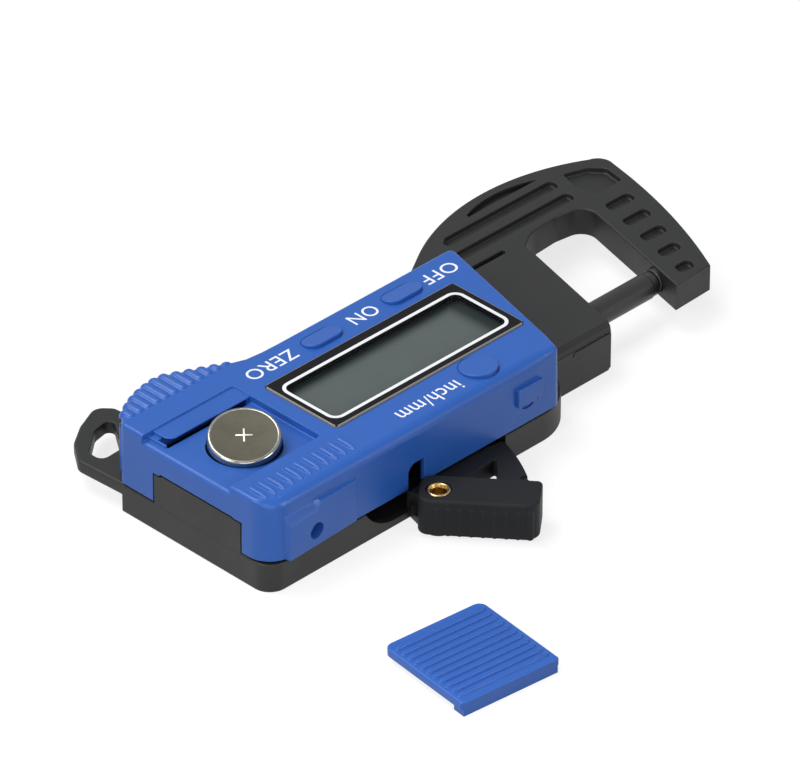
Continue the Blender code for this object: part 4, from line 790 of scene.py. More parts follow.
def dressed(
    piece: Piece, finish: Finish, body: str, stands_for: tuple[str, ...] = (), angle: float = 32.0
) -> Piece:
    """Smooths a piece, gives it its finish and ties it to its body.

    Args:
        piece: the finished shape.
        finish: its material.
        body: the CAD body that it rides on.
        stands_for: CAD nodes that it stands for.
        angle: edges sharper than this stay crisp.

    Returns:
        The piece.
    """
    select_only(piece)
    bpy.ops.object.shade_smooth_by_angle(angle=math.radians(angle))
    finished_with(piece, "WEIGHTED_NORMAL", mode="FACE_AREA", weight=50, keep_sharp=True)
    if not piece.data.materials:
        piece.data.materials.append(finish.material())
    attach(piece, body)
    if stands_for:
        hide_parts(*stands_for)
    LOG.info("%s: %s on %s, %d faces", piece.name, finish.name, body, len(piece.data.polygons))
    return piece


# Sub-assemblies


@dataclass
class Layout:
    """Sizes that more than one moulding shares."""

    jaw_slope: float = 0.26
    case_jaw_x: float = -24.6
    end_x: float = 43.85
    far_y: float = -15.6
    near_y: float = 16.8
    parting_z: float = 5.2
    case_top_z: float = 16.5
    lens_centre: Flat = (0.05, 0.25)
    lens_size: Flat = (41.9, 16.2)
    frame_top_z: float = 9.0
    grip_start_x: float = 16.8
    grip_peak: Flat = (31.0, -22.2)
    grip_mid: Flat = (38.6, -20.3)
    grip_end_y: float = -16.2
    end_corner: float = 4.5
    wall: float = 1.6
    recess_x: float = 24.0
    block_end_x: float = -41.5
    arm_inner_x: float = -56.85
    block_rear_x: float = -22.0
    block_near_y: float = 10.2
    block_far_y: float = -13.7
    spindle: Vector = field(default_factory=lambda: Vector((0, 3.9, 6.3)))
    spindle_r: float = 2.2
    pivot: Flat = (11.9, 21.7)
    screws: tuple[Flat, ...] = ((-19.6, -11.2), (-14.8, 12.4), (38.6, 12.2), (37.6, -15.2))

    def slant(self, x: float, y: float) -> float:
        """X at a given Y on a line that slants as the jaw does."""
        return x + self.jaw_slope * y

    def grip_side(self, steps: int = 24) -> Outline:
        """The finger grip's swelling, from the battery end to the straight side."""
        corner = (self.end_x, self.grip_end_y)
        swell = arc_through(corner, self.grip_mid, self.grip_peak, steps)
        swell = [corner] + [point for point in swell if math.dist(point, corner) > 1.6]
        peak_x, peak_y = self.grip_peak
        flare = [(peak_x - 1.2, peak_y + 0.25), (19.2, -16.75), (17.2, -16.0), (14.2, -15.68)]
        return swell + flare + [(11.0, self.far_y)]

    def grip_y(self, x: float) -> float:
        """The finger grip's outer line at a given X."""
        points = self.grip_side()
        for (x0, y0), (x1, y1) in zip(points, points[1:]):
            if min(x0, x1) <= x <= max(x0, x1) and x0 != x1:
                return y0 + (y1 - y0) * (x - x0) / (x1 - x0)
        return self.far_y

    def case_outline(self) -> Outline:
        """The blue case seen from above."""
        square = [
            (self.slant(self.case_jaw_x, self.far_y), self.far_y),
            (self.slant(self.case_jaw_x, self.near_y), self.near_y), (self.end_x, self.near_y)
        ] + self.grip_side()
        radii = [1.2, 1.5, self.end_corner, 1.4] + [0.0] * (len(square) - 4)
        return tidied(rounded([(x, y, r) for (x, y), r in zip(square, radii)], 8))


@dataclass
class Case:
    """The blue front case with its keys' holes, battery bay, ribs and printed words."""

    layout: Layout
    roof: float = 1.5
    edge: float = 0.7
    near_edge: float = 1.9
    low_gap: float = 0.34
    rim_low_z: float = 14.6
    boss_r: float = 1.9
    thread_r: float = 1.15
    thread_top_z: float = 11.9
    slot_low_z: float = 11.9
    seat_z: float = 15.35
    hole_low_z: float = 12.0
    window_size: Flat = (39.2, 12.8)
    recess_y: Flat = (-11.6, 7.9)
    recess_depth: float = 1.25
    recess_end_r: float = 0.9
    rail_end_x: float = 41.2
    rail_width: float = 3.7
    rail_drop: float = 0.32
    rail_plate: float = 0.2
    pocket_centre: Flat = (32.83, 0.04)
    pocket_r: float = 5.95
    pocket_lean: float = 0.33
    cup_low_z: float = 8.9
    key_off: Flat = (-13.1, -11.5)
    key_on: Flat = (4.75, -11.5)
    key_unit: Flat = (-6.7, 11.9)
    key_size: Flat = (7.6, 3.7)
    key_r: float = 3.2
    key_gap: float = 0.05
    near_ribs: int = 11
    near_rib_x: Flat = (22.9, 41.8)
    near_rib_y: Flat = (10.1, 14.4)
    near_rib_width: float = 1.05
    near_rib_proud: float = 0.45
    side_ribs: int = 12
    side_rib_x: Flat = (20.6, 41.0)
    side_rib_r: float = 1.0
    side_rib_proud: float = 0.34
    end_notch_y: Flat = (-9.15, 10.7)
    end_notch_z: float = 11.2
    pivot_notch_x: Flat = (10.15, 13.65)
    pivot_notch_z: float = 9.9
    panel_x: Flat = (25.1, 40.4)
    panel_z: float = 13.4
    panel_proud: Flat = (0.4, 1.0)
    panel_hole: Flat = (34.1, 8.2)
    catch_x: Flat = (-15.9, -10.3)
    catch_z: Flat = (9.3, 12.8)
    catch_proud: float = 0.6

    def edge_radius(self, point: Flat) -> float:
        """The roof's edge radius at a point: broad along the lever side, small elsewhere."""
        near = eased(point[1], self.layout.near_y - 3.6, self.layout.near_y - 0.6)
        along = eased(point[0], -20.0, -13.0)
        return self.edge + (self.near_edge - self.edge) * near * (0.35 + 0.65 * along)

    def shell(self) -> Piece:
        """The case's walls and roof, hollow and open at the back.

        Returns:
            The shell before its openings.
        """
        lay = self.layout
        outline = divided(lay.case_outline(), 3.0)
        rims = [self.edge_radius(point) for point in outline]
        low = lay.parting_z + self.low_gap
        case = moulding("gauge_case", outline, low, lay.case_top_z, rim=rims, draft=0.12, steps=6)
        under = lay.case_top_z - self.roof
        core = shrunk(lay.case_outline(), lay.wall + 0.3)
        carved(case, moulding("core", core, low - 1, under))
        floor = lay.case_top_z - self.recess_depth
        slab = moulding(
            "slab", rectangle((22.4, self.recess_y[0] - 1.6), (lay.end_x - 1, self.recess_y[1] + 1.6)),
            floor - 1.6, floor + 0.2
        )
        cup = moulding("cup", circle(self.pocket_centre, self.pocket_r + 1), self.cup_low_z, floor - 0.5)
        long, wide = lay.lens_size
        rim_line = around(lay.lens_centre, long / 2 + 1.2, wide / 2 - 0.4)
        rim = moulding("rim", rim_line, self.rim_low_z, under + 0.2)
        bosses = [
            moulding(f"boss_{i}", circle(at, self.boss_r, 24), low, under + 0.3)
            for i, at in enumerate(lay.screws)
        ]
        return welded(case, slab, cup, rim, *bosses)

    def bay(self, case: Piece) -> None:
        """Cuts the battery bay, with its rail, slot and round pocket."""
        lay = self.layout
        top = lay.case_top_z
        floor = top - self.recess_depth
        y0, y1 = self.recess_y
        recess = rounded(
            [
                (lay.recess_x, y0, 0.5), (lay.end_x + 3, y0, 0.0), (lay.end_x + 3, y1, 0.0),
                (lay.recess_x, y1, 0.7)
            ]
        )
        carved(case, hollow("recess", recess, floor, top, lip=0.16, fillet=0.18))
        rail_near = y0 + self.rail_width
        rail = rounded(
            [
                (lay.recess_x - 0.5, y0 - 0.5, 0.0), (self.rail_end_x, y0 - 0.5, 0.0),
                (self.rail_end_x, rail_near, 1.6), (lay.recess_x - 0.5, rail_near, 0.0)
            ],
            10
        )
        ledge = rectangle((self.rail_end_x - 0.6, y0 - 0.4), (self.rail_end_x + 1.1, rail_near + 0.1), 0.2)
        rail_top = top - self.rail_drop
        welded(
            case, moulding("rail", rail, floor - 0.5, rail_top, rim=0.12),
            moulding("ledge", ledge, floor - 0.5, floor + 0.4, rim=0.1)
        )
        # The slot runs under the rail's edge, so that the rail stands over it as a thin plate
        slot = rectangle((lay.recess_x + 0.7, rail_near - 1.9), (self.rail_end_x + 0.7, rail_near + 0.4))
        centre_x, centre_y = self.pocket_centre
        lean = math.radians(45)
        r = self.pocket_r
        half_round = arc((self.pocket_lean, 0), r + 0.12, -90, 90, 36)
        half_round += arc((-self.pocket_lean, 0), r, 90, 270, 36)
        pocket = [
            (
                centre_x + u * math.cos(lean) - v * math.sin(lean),
                centre_y + u * math.sin(lean) + v * math.cos(lean)
            )
            for u, v in half_round
        ]
        cup_slot = rectangle((24.3, -1.7), (27.4, 2.5))
        r_end = self.recess_end_r
        x_end = lay.end_x
        rolled = arc((x_end - r_end, floor - r_end), r_end, 90, 0, 10)
        rolled += [(x_end + 1, floor - r_end), (x_end + 1, floor + 1.0), (x_end - r_end, floor + 1.0)]
        carved(
            case, moulding("slot", slot, self.slot_low_z, rail_top - self.rail_plate),
            moulding("rolled_edge", rolled, y0 + 0.05, y1 - 0.05, axis=Axis.Y),
            hollow("pocket", tidied(pocket), self.cup_low_z + 0.5, floor, lip=0.12, beyond=2.0),
            moulding("cup_slot", cup_slot, 10.9, floor - 1.8)
        )

    def openings(self, case: Piece) -> None:
        """Cuts the display's seat, the keys' holes and the notches in the walls."""
        lay = self.layout
        top = lay.case_top_z
        low = lay.parting_z + 0.2
        seat = around(lay.lens_centre, lay.lens_size[0] / 2 + 0.1, lay.lens_size[1] / 2 + 0.1, 1.0)
        window = around(lay.lens_centre, self.window_size[0] / 2, self.window_size[1] / 2, 1.2)
        long, wide = self.key_size
        gap = 2 * self.key_gap
        holes = [
            hollow("seat", seat, self.seat_z, top, lip=0.08),
            moulding("window", window, self.hole_low_z, top + 1)
        ]
        for name, mouth in (
            ("hole_off", stadium(self.key_off, long + gap, wide + gap)),
            ("hole_on", stadium(self.key_on, long + gap, wide + gap)),
            ("hole_unit", circle(self.key_unit, self.key_r + self.key_gap, 64))
        ):
            holes.append(hollow(name, mouth, self.hole_low_z, top, lip=0.06))
        block_near = lay.block_near_y
        block_room = [
            (lay.block_end_x - 6, lay.block_far_y - 0.3), (lay.block_rear_x + 0.3, lay.block_far_y - 0.3),
            (lay.block_rear_x + 0.3, 1.4),
            (lay.slant(lay.case_jaw_x, block_near) + lay.wall + 0.6, block_near + 0.3),
            (lay.block_end_x - 6, block_near + 0.3)
        ]
        holes.append(moulding("block_room", block_room, low - 1, lay.frame_top_z + 0.15))
        n0, n1 = self.end_notch_y
        notch = [
            (n0, low - 1), (n1, low - 1), (n1, self.end_notch_z - 0.15),
            (n1 - 1.9, self.end_notch_z - 0.15), (n1 - 2.1, self.end_notch_z), (n0 + 1.6, self.end_notch_z),
            (n0 + 1.4, self.end_notch_z - 0.4), (n0, self.end_notch_z - 0.4)
        ]
        holes.append(moulding("end_notch", notch, lay.end_x - 3, lay.end_x + 1, axis=Axis.X))
        p0, p1 = self.pivot_notch_x
        pivot = rounded(
            [
                (p0, low - 1, 0.0), (p1, low - 1, 0.0), (p1, self.pivot_notch_z, 2.6),
                (p0, self.pivot_notch_z, 0.0)
            ],
            10
        )
        holes.append(moulding("pivot_notch", pivot, lay.near_y - 3, lay.near_y + 1, axis=Axis.Y))
        relief = rectangle((p0 - 3.5, lay.near_y - 4.5), (p1 + 3.5, lay.near_y - 0.8))
        holes.append(moulding("pivot_relief", relief, low - 1, self.pivot_notch_z + 1.2))
        for i, (x, y) in enumerate(lay.screws):
            holes.append(
                moulding(f"thread_{i}", circle((x, y), self.thread_r, 20), low - 1, self.thread_top_z)
            )
        carved(case, *holes)

    def side_details(self, case: Piece) -> None:
        """Adds the tapered side panel with its hole and the snap boss with the mark under it."""
        lay = self.layout
        p0, p1 = self.panel_x
        low = lay.parting_z + 0.36
        proud0, proud1 = self.panel_proud
        near = lay.near_y
        # Seen from the front: foot, battery end, the wide bevel's two ends and the narrow bevel
        kink = p1 - 6.2
        back = (
            (p0, low, -0.8), (p1, low, -0.8), (p1, self.panel_z, -0.8), (kink, self.panel_z, -0.8),
            (kink - 1.0, self.panel_z, -0.8), (p0, self.panel_z, -0.8)
        )
        middle = tuple((x, z, 0.0) for x, z, _ in back)
        front = (
            (p0 + 0.12, low, proud0), (p1 - 0.3, low, proud1), (p1 - 0.3, self.panel_z - 1.7, proud1),
            (kink, self.panel_z - 1.5, (proud0 + 2 * proud1) / 3),
            (kink - 1.0, self.panel_z - 0.2, (proud0 + proud1) / 2), (p0 + 0.12, self.panel_z - 0.2, proud0)
        )
        rings = [[Vector((x, near - 0.1 + out, z)) for x, z, out in ring] for ring in (back, middle, front)]
        panel = loft("panel", rings)
        catch = rounded(
            [
                (self.catch_x[0], self.catch_z[0], 1.2), (self.catch_x[1], self.catch_z[0], 0.6),
                (self.catch_x[1], self.catch_z[1], 0.3), (self.catch_x[0], self.catch_z[1], 0.3)
            ]
        )
        boss = moulding("catch", catch, near - 0.8, near + self.catch_proud, rim=0.2, axis=Axis.Y)
        welded(case, panel, boss)
        crescent = arc((-13.0, 10.0), 1.9, 200, 340, 10) + arc((-13.0, 10.8), 1.9, 330, 210, 10)
        hole_x, hole_z = self.panel_hole
        carved(
            case,
            hollow(
                "panel_hole", circle((hole_x, hole_z), 1.4, 40), near - 1.2, near + 0.65, lip=0.12,
                axis=Axis.Y
            ),
            moulding("catch_mark", tidied(crescent), near - 0.5, near + 1.5, axis=Axis.Y)
        )

    def ribs(self, case: Piece) -> Piece:
        """Adds the flat bars by the lever side and the rounded ridges of the finger grip."""
        lay = self.layout
        top = lay.case_top_z
        half = self.near_rib_width / 2
        x0, x1 = self.near_rib_x
        y0, y1 = self.near_rib_y
        steps = 28
        spine = []
        sizes = []
        for k in range(steps + 1):
            y = y0 + (y1 - y0) * k / steps
            taper = min(1.0, math.sqrt(0.25 + (y - y0) / 0.9), math.sqrt(0.2 + (y1 - y) / 1.5))
            spine.append(Vector((x0, y, top + self.near_rib_proud - half)))
            sizes.append(half * taper)
        bars = [swept("bar", spine, sizes, 24)]
        for i in range(1, self.near_ribs):
            shift = Vector(((x1 - x0) * i / (self.near_ribs - 1), 0, 0))
            bars.append(copied(bars[0], f"bar_{i}", shift))
        return gathered("gauge_case", case, *bars, *(self.ridge(i) for i in range(self.side_ribs)))

    def ridge(self, number: int) -> Piece:
        """One ridge of the finger grip, over the roof and down the wall."""
        lay = self.layout
        x0, x1 = self.side_rib_x
        x = x0 + (x1 - x0) * number / (self.side_ribs - 1)
        sunk = self.side_rib_r - self.side_rib_proud
        top = lay.case_top_z - sunk
        inner = lay.far_y - 0.35
        outer = lay.grip_y(x) + sunk
        bend = 0.25
        path = [Vector((x, inner - d, top)) for d in (0.0, 0.2, 0.45)]
        flat_from, flat_to = inner - 0.75, outer + bend
        if flat_to > flat_from:
            flat_from = flat_to
        path += [Vector((x, flat_from + (flat_to - flat_from) * k / 4, top)) for k in range(5)]
        for k in range(1, 7):
            t = math.radians(90 * k / 6)
            path.append(Vector((x, outer + bend * (1 - math.sin(t)), top - bend * (1 - math.cos(t)))))
        low = lay.parting_z + 0.5
        path += [Vector((x, outer, top - bend + (low + 0.3 - top + bend) * k / 6)) for k in range(1, 7)]
        path.append(Vector((x, outer + 0.1, low)))
        clean = [path[0]]
        for point in path[1:]:
            if (point - clean[-1]).length > 0.02:
                clean.append(point)
        radii = [self.side_rib_r] * len(clean)
        for i, part in enumerate((0.35, 0.68, 0.88)):
            radii[i] *= part
        radii[-1] *= 0.6
        return swept(f"ridge_{number}", clean, radii, 24)

    def build(self) -> Piece:
        """Models the whole case.

        Returns:
            The dressed piece.
        """
        case = self.shell()
        self.bay(case)
        self.openings(case)
        self.side_details(case)
        case = self.ribs(case)
        return dressed(case, BLUE_ABS, "gauge", ("housing",))


@dataclass
class Lettering:
    """The white words beside the keys, printed on the roof."""

    layout: Layout
    film: float = 0.012
    cap: float = 2.75
    size: float = 3.0
    lift: float = 0.004

    def word(self, label: Label, name: str, left: float, right: float, base: float, height: float) -> None:
        """Prints one word into a box.

        Args:
            label: the word.
            name: the piece's name.
            left: where it starts along X.
            right: where it ends.
            base: Y of the letters' feet.
            height: the tallest letter's height.
        """
        bpy.ops.object.select_all(action="DESELECT")
        bpy.ops.object.text_add(location=(0, 0, 0))
        word = bpy.context.object
        word.data.body = label.value
        word.data.size = self.size * MM
        word.data.offset = 0.004 * MM
        word.data.extrude = self.film / 2 * MM
        word.data.space_character = 1.06
        select_only(word)
        bpy.ops.object.convert(target="MESH")
        word = named(bpy.context.object, name)
        xs = [v.co.x for v in word.data.vertices]
        ys = [v.co.y for v in word.data.vertices]
        wide = (right - left) * MM / (max(xs) - min(xs))
        tall = height * MM / (max(ys) - min(ys))
        for vertex in word.data.vertices:
            vertex.co.x = left * MM + (vertex.co.x - min(xs)) * wide
            vertex.co.y = base * MM + (vertex.co.y - min(ys)) * tall
            vertex.co.z += (self.layout.case_top_z + self.film / 2 + self.lift) * MM
        close_up(word)
        dressed(word, WHITE_INK, "gauge")

    def build(self) -> None:
        """Prints the four words."""
        self.word(Label.OFF, "word_off", -25.2, -18.0, -12.8, self.cap)
        self.word(Label.ON, "word_on", -7.3, -1.7, -12.8, self.cap)
        self.word(Label.ZERO, "word_zero", 10.6, 20.8, -12.9, self.cap)
        self.word(Label.UNIT, "word_inch_mm", -1.5, 11.7, 11.6, 2.9)


@dataclass
class Display:
    """The window with its black border and white line, and the grey-green glass below it."""

    layout: Layout
    corner: float = 0.9
    low_z: float = 15.65
    top_z: float = 16.8
    line_centre: Flat = (0.15, 0.55)
    line_half: Flat = (19.8, 6.5)
    line_corner: float = 2.0
    line_width: float = 0.6
    glass_low_z: float = 12.5
    glass_top_z: float = 14.3

    def box(
        self, half_x: float, half_y: float, radius: float, steps: int = 10, line: bool = False
    ) -> Outline:
        """A rounded rectangle about the pane's centre, or about the white line's."""
        centre = self.line_centre if line else self.layout.lens_centre
        return around(centre, half_x, half_y, radius, steps)

    def build(self) -> None:
        """Models the border, the line, the clear pane and the glass."""
        long, wide = self.layout.lens_size
        border = moulding(
            "display_border", self.box(long / 2, wide / 2, self.corner), self.low_z, self.top_z, rim=0.22,
            steps=2
        )
        hx, hy = self.line_half
        inner = self.line_width * 0.9
        opening = self.box(hx - inner, hy - inner, self.line_corner - inner, line=True)
        carved(border, moulding("opening", opening, self.low_z - 1, self.top_z + 1))
        border.data.materials.append(BORDER_ACRYLIC.material())
        border.data.materials.append(EDGE_HIGHLIGHT_ACRYLIC.material())
        outer_x = long / 2 - 0.24
        outer_y = wide / 2 - 0.24
        middle_x, middle_y = self.layout.lens_centre
        # The bevelled rim faces take the light grey edge material, a painted highlight along the polished
        # edge
        for face in border.data.polygons:
            x, y = face.center.x / MM - middle_x, face.center.y / MM - middle_y
            rim = abs(x) > outer_x or abs(y) > outer_y
            face.material_index = 1 if rim and face.normal.z > -0.5 and face.normal.z < 0.98 else 0
        dressed(border, BORDER_ACRYLIC, "gauge", ("display_lens",), angle=25)

        ring = moulding(
            "display_line", self.box(hx, hy, self.line_corner, 14, True), self.top_z - 0.05,
            self.top_z + 0.012
        )
        hole = self.box(
            hx - self.line_width, hy - self.line_width, self.line_corner - self.line_width, 14, True
        )
        carved(ring, moulding("hole", hole, self.top_z - 1, self.top_z + 1))
        dressed(ring, LINE_INK, "gauge")

        pane = moulding(
            "display_pane",
            self.box(hx - inner - 0.02, hy - inner - 0.02, self.line_corner - inner - 0.02, line=True),
            self.top_z - 0.5, self.top_z - 0.02
        )
        dressed(pane, CLEAR_ACRYLIC, "gauge")
        glass = moulding(
            "display_glass", self.box(19.6, 7.0, 0.2, 2), self.glass_low_z, self.glass_top_z, rim=0.1, steps=2
        )
        upper = moulding(
            "upper_glass", self.box(19.5, 6.3, 0.2, 2), self.glass_top_z - 0.1, self.low_z - 0.35, rim=0.06,
            steps=2
        )
        dressed(welded(glass, upper), CRYSTAL, "gauge", ("lcd_panel",))


@dataclass
class Keys:
    """The three keys that stand a little proud of the roof."""

    case: Case
    proud: float = 0.36
    slope: float = 0.19
    flange_top_z: float = 14.7
    flange_low_z: float = 13.8
    stem_low_z: float = 12.4
    stem_r: float = 1.2

    def key(self, name: str, centre: Flat, cap: Outline, flange: Outline, body: str, node: str) -> None:
        """Models one key: its softly crowned cap, its flange and its stem."""
        top = self.case.layout.case_top_z + self.proud
        piece = moulding(name, cap, self.flange_top_z - 0.2, top, rim=0.16, steps=4)
        # The cap rises towards the lever side, where its edge stands clear of the roof
        rise = self.slope * self.case.key_size[1] / (max(y for _, y in cap) - min(y for _, y in cap))
        for corner in piece.data.vertices:
            if corner.co.z > (self.case.layout.case_top_z - 0.2) * MM:
                corner.co.z += rise * (corner.co.y - centre[1] * MM)
        base = moulding(f"{name}_flange", flange, self.flange_low_z, self.flange_top_z)
        stem = moulding(
            f"{name}_stem", circle(centre, self.stem_r, 24), self.stem_low_z, self.flange_low_z + 0.2
        )
        dressed(welded(piece, base, stem), BLUE_ABS, body, (node,))

    def build(self) -> None:
        """Models the three keys."""
        long, wide = self.case.key_size
        for name, centre, body in (
            ("key_off", self.case.key_off, "off_key"), ("key_on", self.case.key_on, "on_key")
        ):
            cap = stadium(centre, long, wide)
            flange = stadium(centre, long + 0.6, wide + 0.6)
            self.key(name, centre, cap, flange, body, name.replace("key", "button"))
        centre = self.case.key_unit
        self.key(
            "key_unit", centre, circle(centre, self.case.key_r, 64),
            circle(centre, self.case.key_r + 0.3, 48), "unit_key", "button_unit"
        )


@dataclass
class Chassis:
    """The black moulding: tray, guide block, C-shaped jaw, lever lug and lanyard ear."""

    layout: Layout
    tray_wall: float = 1.5
    floor: float = 1.3
    jaw_under_z: float = 4.0
    shoulder_x: float = -16.5
    shoulder_r: float = 10.0
    arm_near_y: float = 9.9
    arm_near_width: float = 8.3
    pocket_depth: float = 1.0
    tongue_top_z: float = 10.95
    ear_thick: float = 2.2
    tray_corner: float = 3.3
    pillar_r: float = 3.1
    screw_hole_r: float = 1.3
    screw_head_r: float = 2.2
    screw_head_z: float = 1.9
    rivet_hole_r: float = 1.6
    rivet_seat_r: float = 2.1
    spindle_gap: float = 0.12
    anvil_bore_r: float = 2.12

    def tray_outline(self) -> Outline:
        """The lower half seen from above."""
        lay = self.layout
        near = (lay.slant(lay.block_end_x, lay.block_near_y), lay.block_near_y)
        far = (lay.slant(lay.block_end_x, lay.far_y), lay.far_y)
        centre = (self.shoulder_x, lay.near_y - self.shoulder_r)
        meet = math.degrees(math.asin((lay.block_near_y - centre[1]) / self.shoulder_r))
        shoulder = arc(centre, self.shoulder_r, 180 - meet, 90, 14)
        corner = self.tray_corner
        end = arc((lay.end_x - corner, lay.near_y - corner), corner, 90, 0, 10)
        corners = [
            (11.0, lay.far_y, 0.0), (*far, 3.0), (*near, 0.8), (self.shoulder_x, lay.block_near_y, 0.0)
        ]
        return tidied(rounded(corners, 8)[1:-1] + shoulder + end + lay.grip_side())

    def tray_hollow(self) -> Outline:
        """The tray's hollow, one wall inside its outline."""
        lay = self.layout
        radius = self.shoulder_r - self.tray_wall
        start = math.degrees(math.acos((lay.block_rear_x - self.shoulder_x) / radius))
        shoulder = arc((self.shoulder_x, lay.near_y - self.shoulder_r), radius, start, 90, 10)
        corner = lay.end_corner - self.tray_wall
        end = arc((lay.end_x - lay.end_corner, lay.near_y - lay.end_corner), corner, 90, 0, 6)
        side = shrunk(lay.case_outline(), self.tray_wall)
        grip = [p for p in side if p[1] < lay.far_y + self.tray_wall + 0.4 and p[0] > lay.grip_start_x - 1]
        return tidied(shoulder + end + grip + [(lay.block_rear_x, lay.far_y + self.tray_wall)])

    def arm_back(self, steps: int) -> Outline:
        """The jaw arm's outer line, from its near end to the corner."""
        lay = self.layout
        inner_x = lay.arm_inner_x
        near = (lay.slant(inner_x, self.arm_near_y) - self.arm_near_width, self.arm_near_y - 0.3)
        return arc_through(near, (inner_x - 13.35, -8.8), (inner_x - 16.75, -22.6), steps)

    def jaw_outline(self) -> Outline:
        """The raised C-shaped jaw seen from above."""
        lay = self.layout
        inner_x = lay.arm_inner_x
        near = (lay.slant(inner_x, self.arm_near_y), self.arm_near_y)
        outer = self.arm_back(24)
        corner = arc_through(
            (inner_x - 16.75, -22.6), (inner_x - 16.65, -24.9), (inner_x - 14.75, -26.4), 8
        )[1:]
        bow = arc_through((inner_x - 14.75, -26.4), (inner_x + 3.35, -31.5), (-30.5, -25.4), 40)[1:]
        root_x = lay.case_jaw_x + 8.6
        root = [(-21.5, -20.0), (root_x, -15.5), (root_x, -14.4)]
        inside = [
            (lay.block_rear_x - 2, -14.4), (lay.block_rear_x - 2, lay.block_far_y + 2.5),
            (lay.slant(lay.block_end_x, lay.block_far_y) + 1.0, lay.block_far_y + 2.5)
        ]
        throat = rounded(
            [
                (*inside[-1], 0.0), (lay.slant(lay.block_end_x, -15.4), -15.4, 0.8), (-48.6, -17.5, 9.0),
                (-55.0, -17.9, 5.0), (lay.slant(inner_x, -17.0), -17.0, 3.2), (*near, 0.0)
            ],
            10
        )
        return tidied(outer + corner + bow + root + inside[:-1] + throat)

    def pockets(self) -> list[Piece]:
        """Cutters for the shallow pockets in the jaw's top."""
        lay = self.layout
        top = lay.frame_top_z
        floor = top - self.pocket_depth
        inner_x = lay.arm_inner_x
        curve = self.arm_back(60)
        outlines = []
        for i in range(5):
            y0 = -14.9 + i * 5.18
            y1 = y0 + 2.3
            inner = [lay.slant(inner_x, y) - 2.6 for y in (y0, y1)]
            outer = [min(curve, key=lambda p: abs(p[1] - y))[0] + 2.9 for y in (y0, y1)]
            outlines.append(
                [(outer[0], y0, 0.9), (inner[0], y0, 0.9), (inner[1], y1, 0.9), (outer[1], y1, 0.9)]
            )
        bars = ((-62.6, -36.4, -26.3, 2.3), (-61.9, -31.5, -21.9, 2.3), (-42.2, -30.5, -17.2, 1.0))
        for x0, x1, y0, width in bars:
            round_end = min(0.9, 0.45 * width)
            outlines.append(
                [
                    (x0, y0, round_end), (x1 - 1.5, y0, round_end), (x1, y0 + 0.43 * width, 0.25 * width),
                    (x1, y0 + width, 0.25 * width), (x0 + 0.5, y0 + width, round_end)
                ]
            )
        outlines.append(
            [
                (inner_x - 8.35, -26.2, 0.6), (inner_x - 12.75, -24.6, 1.2), (inner_x - 14.75, -22.3, 1.2),
                (inner_x - 14.05, -18.1, 0.8), (inner_x - 7.75, -18.1, 1.2), (inner_x - 7.15, -22.0, 1.0)
            ]
        )
        tools = [
            hollow(f"pocket_{i}", tidied(rounded(corners, 5)), floor, top, lip=0.18, fillet=0.3)
            for i, corners in enumerate(outlines)
        ]
        crescent = arc_through((-61.0, -28.0), (-53.0, -29.85), (-45.2, -28.6), 24) + [(-45.0, -28.0)]
        tools.append(hollow("pocket_crescent", crescent, floor, top, lip=0.12))
        return tools

    def block(self) -> Piece:
        """The spindle's guide block with its eased near edge and raised side panel."""
        lay = self.layout
        outline = [
            (lay.slant(lay.block_end_x, lay.block_far_y), lay.block_far_y),
            (lay.block_rear_x, lay.block_far_y), (lay.block_rear_x, lay.block_near_y),
            (lay.slant(lay.block_end_x, lay.block_near_y), lay.block_near_y)
        ]
        top = lay.frame_top_z - 0.02
        guide = moulding("guide", outline, 0.4, top, rim=0.15, foot=0.2, steps=3)
        near = lay.block_near_y
        shave = [
            (near - 1.15, top + 0.05), (near - 0.3, top - 0.75), (near - 0.12, top - 1.55),
            (near + 1, top - 1.55), (near + 1, top + 0.05)
        ]
        x_end = lay.slant(lay.block_end_x, near)
        step = top - 1.75
        curl = arc((-30.8, step - 0.7), 0.85, 90, 0, 8) + arc((-30.8, step - 0.7), 0.6, 0, 90, 8)
        groove = [(x_end - 1, step + 0.15)] + curl + [(x_end - 1, step - 0.1)]
        carved(
            guide, moulding("shave", shave, x_end - 1, lay.block_rear_x - 1, axis=Axis.X),
            moulding("groove", groove, near - 0.28, near + 1, axis=Axis.Y)
        )
        return guide

    def build(self) -> Piece:
        """Models the whole moulding.

        Returns:
            The dressed piece.
        """
        lay = self.layout
        part = lay.parting_z
        body = moulding("chassis", divided(self.tray_outline(), 6.0), 0.0, part, rim=0.28, foot=0.3, steps=3)
        carved(body, moulding("tray_hollow", self.tray_hollow(), self.floor, part + 1))
        jaw = moulding(
            "jaw", self.jaw_outline(), self.jaw_under_z, lay.frame_top_z, rim=0.3, foot=0.15, steps=4
        )
        carved(jaw, moulding("case_room", grown(lay.case_outline(), 0.12), part, lay.frame_top_z + 2))
        ear = moulding("ear", self.ear_outline(), part - self.ear_thick, part, rim=0.45, foot=0.4)
        hole = tidied(
            rounded(
                [
                    (41.4, -23.4, 1.3), (37.0, -23.6, 1.8), (31.9, -31.0, 1.4), (36.7, -30.0, 2.0),
                    (41.4, -26.2, 1.2)
                ],
                8
            )
        )
        carved(ear, hollow("ear_hole", hole, part - self.ear_thick - 1, part, lip=0.35))
        px, py = lay.pivot
        lug_line = arc((px, py), 2.5, -20, 180, 24) + [(px - 2.5, lay.near_y - 1), (px + 0.9, lay.near_y - 1)]
        lug = moulding("lug", lug_line, 0.0, 1.4, rim=0.2)
        tongue_line = [
            (-8.85, part - 1), (10.4, part - 1), (10.4, self.tongue_top_z - 0.2),
            (8.5, self.tongue_top_z - 0.2), (8.3, self.tongue_top_z - 0.05),
            (-7.3, self.tongue_top_z - 0.05), (-7.5, self.tongue_top_z - 0.4),
            (-8.85, self.tongue_top_z - 0.4)
        ]
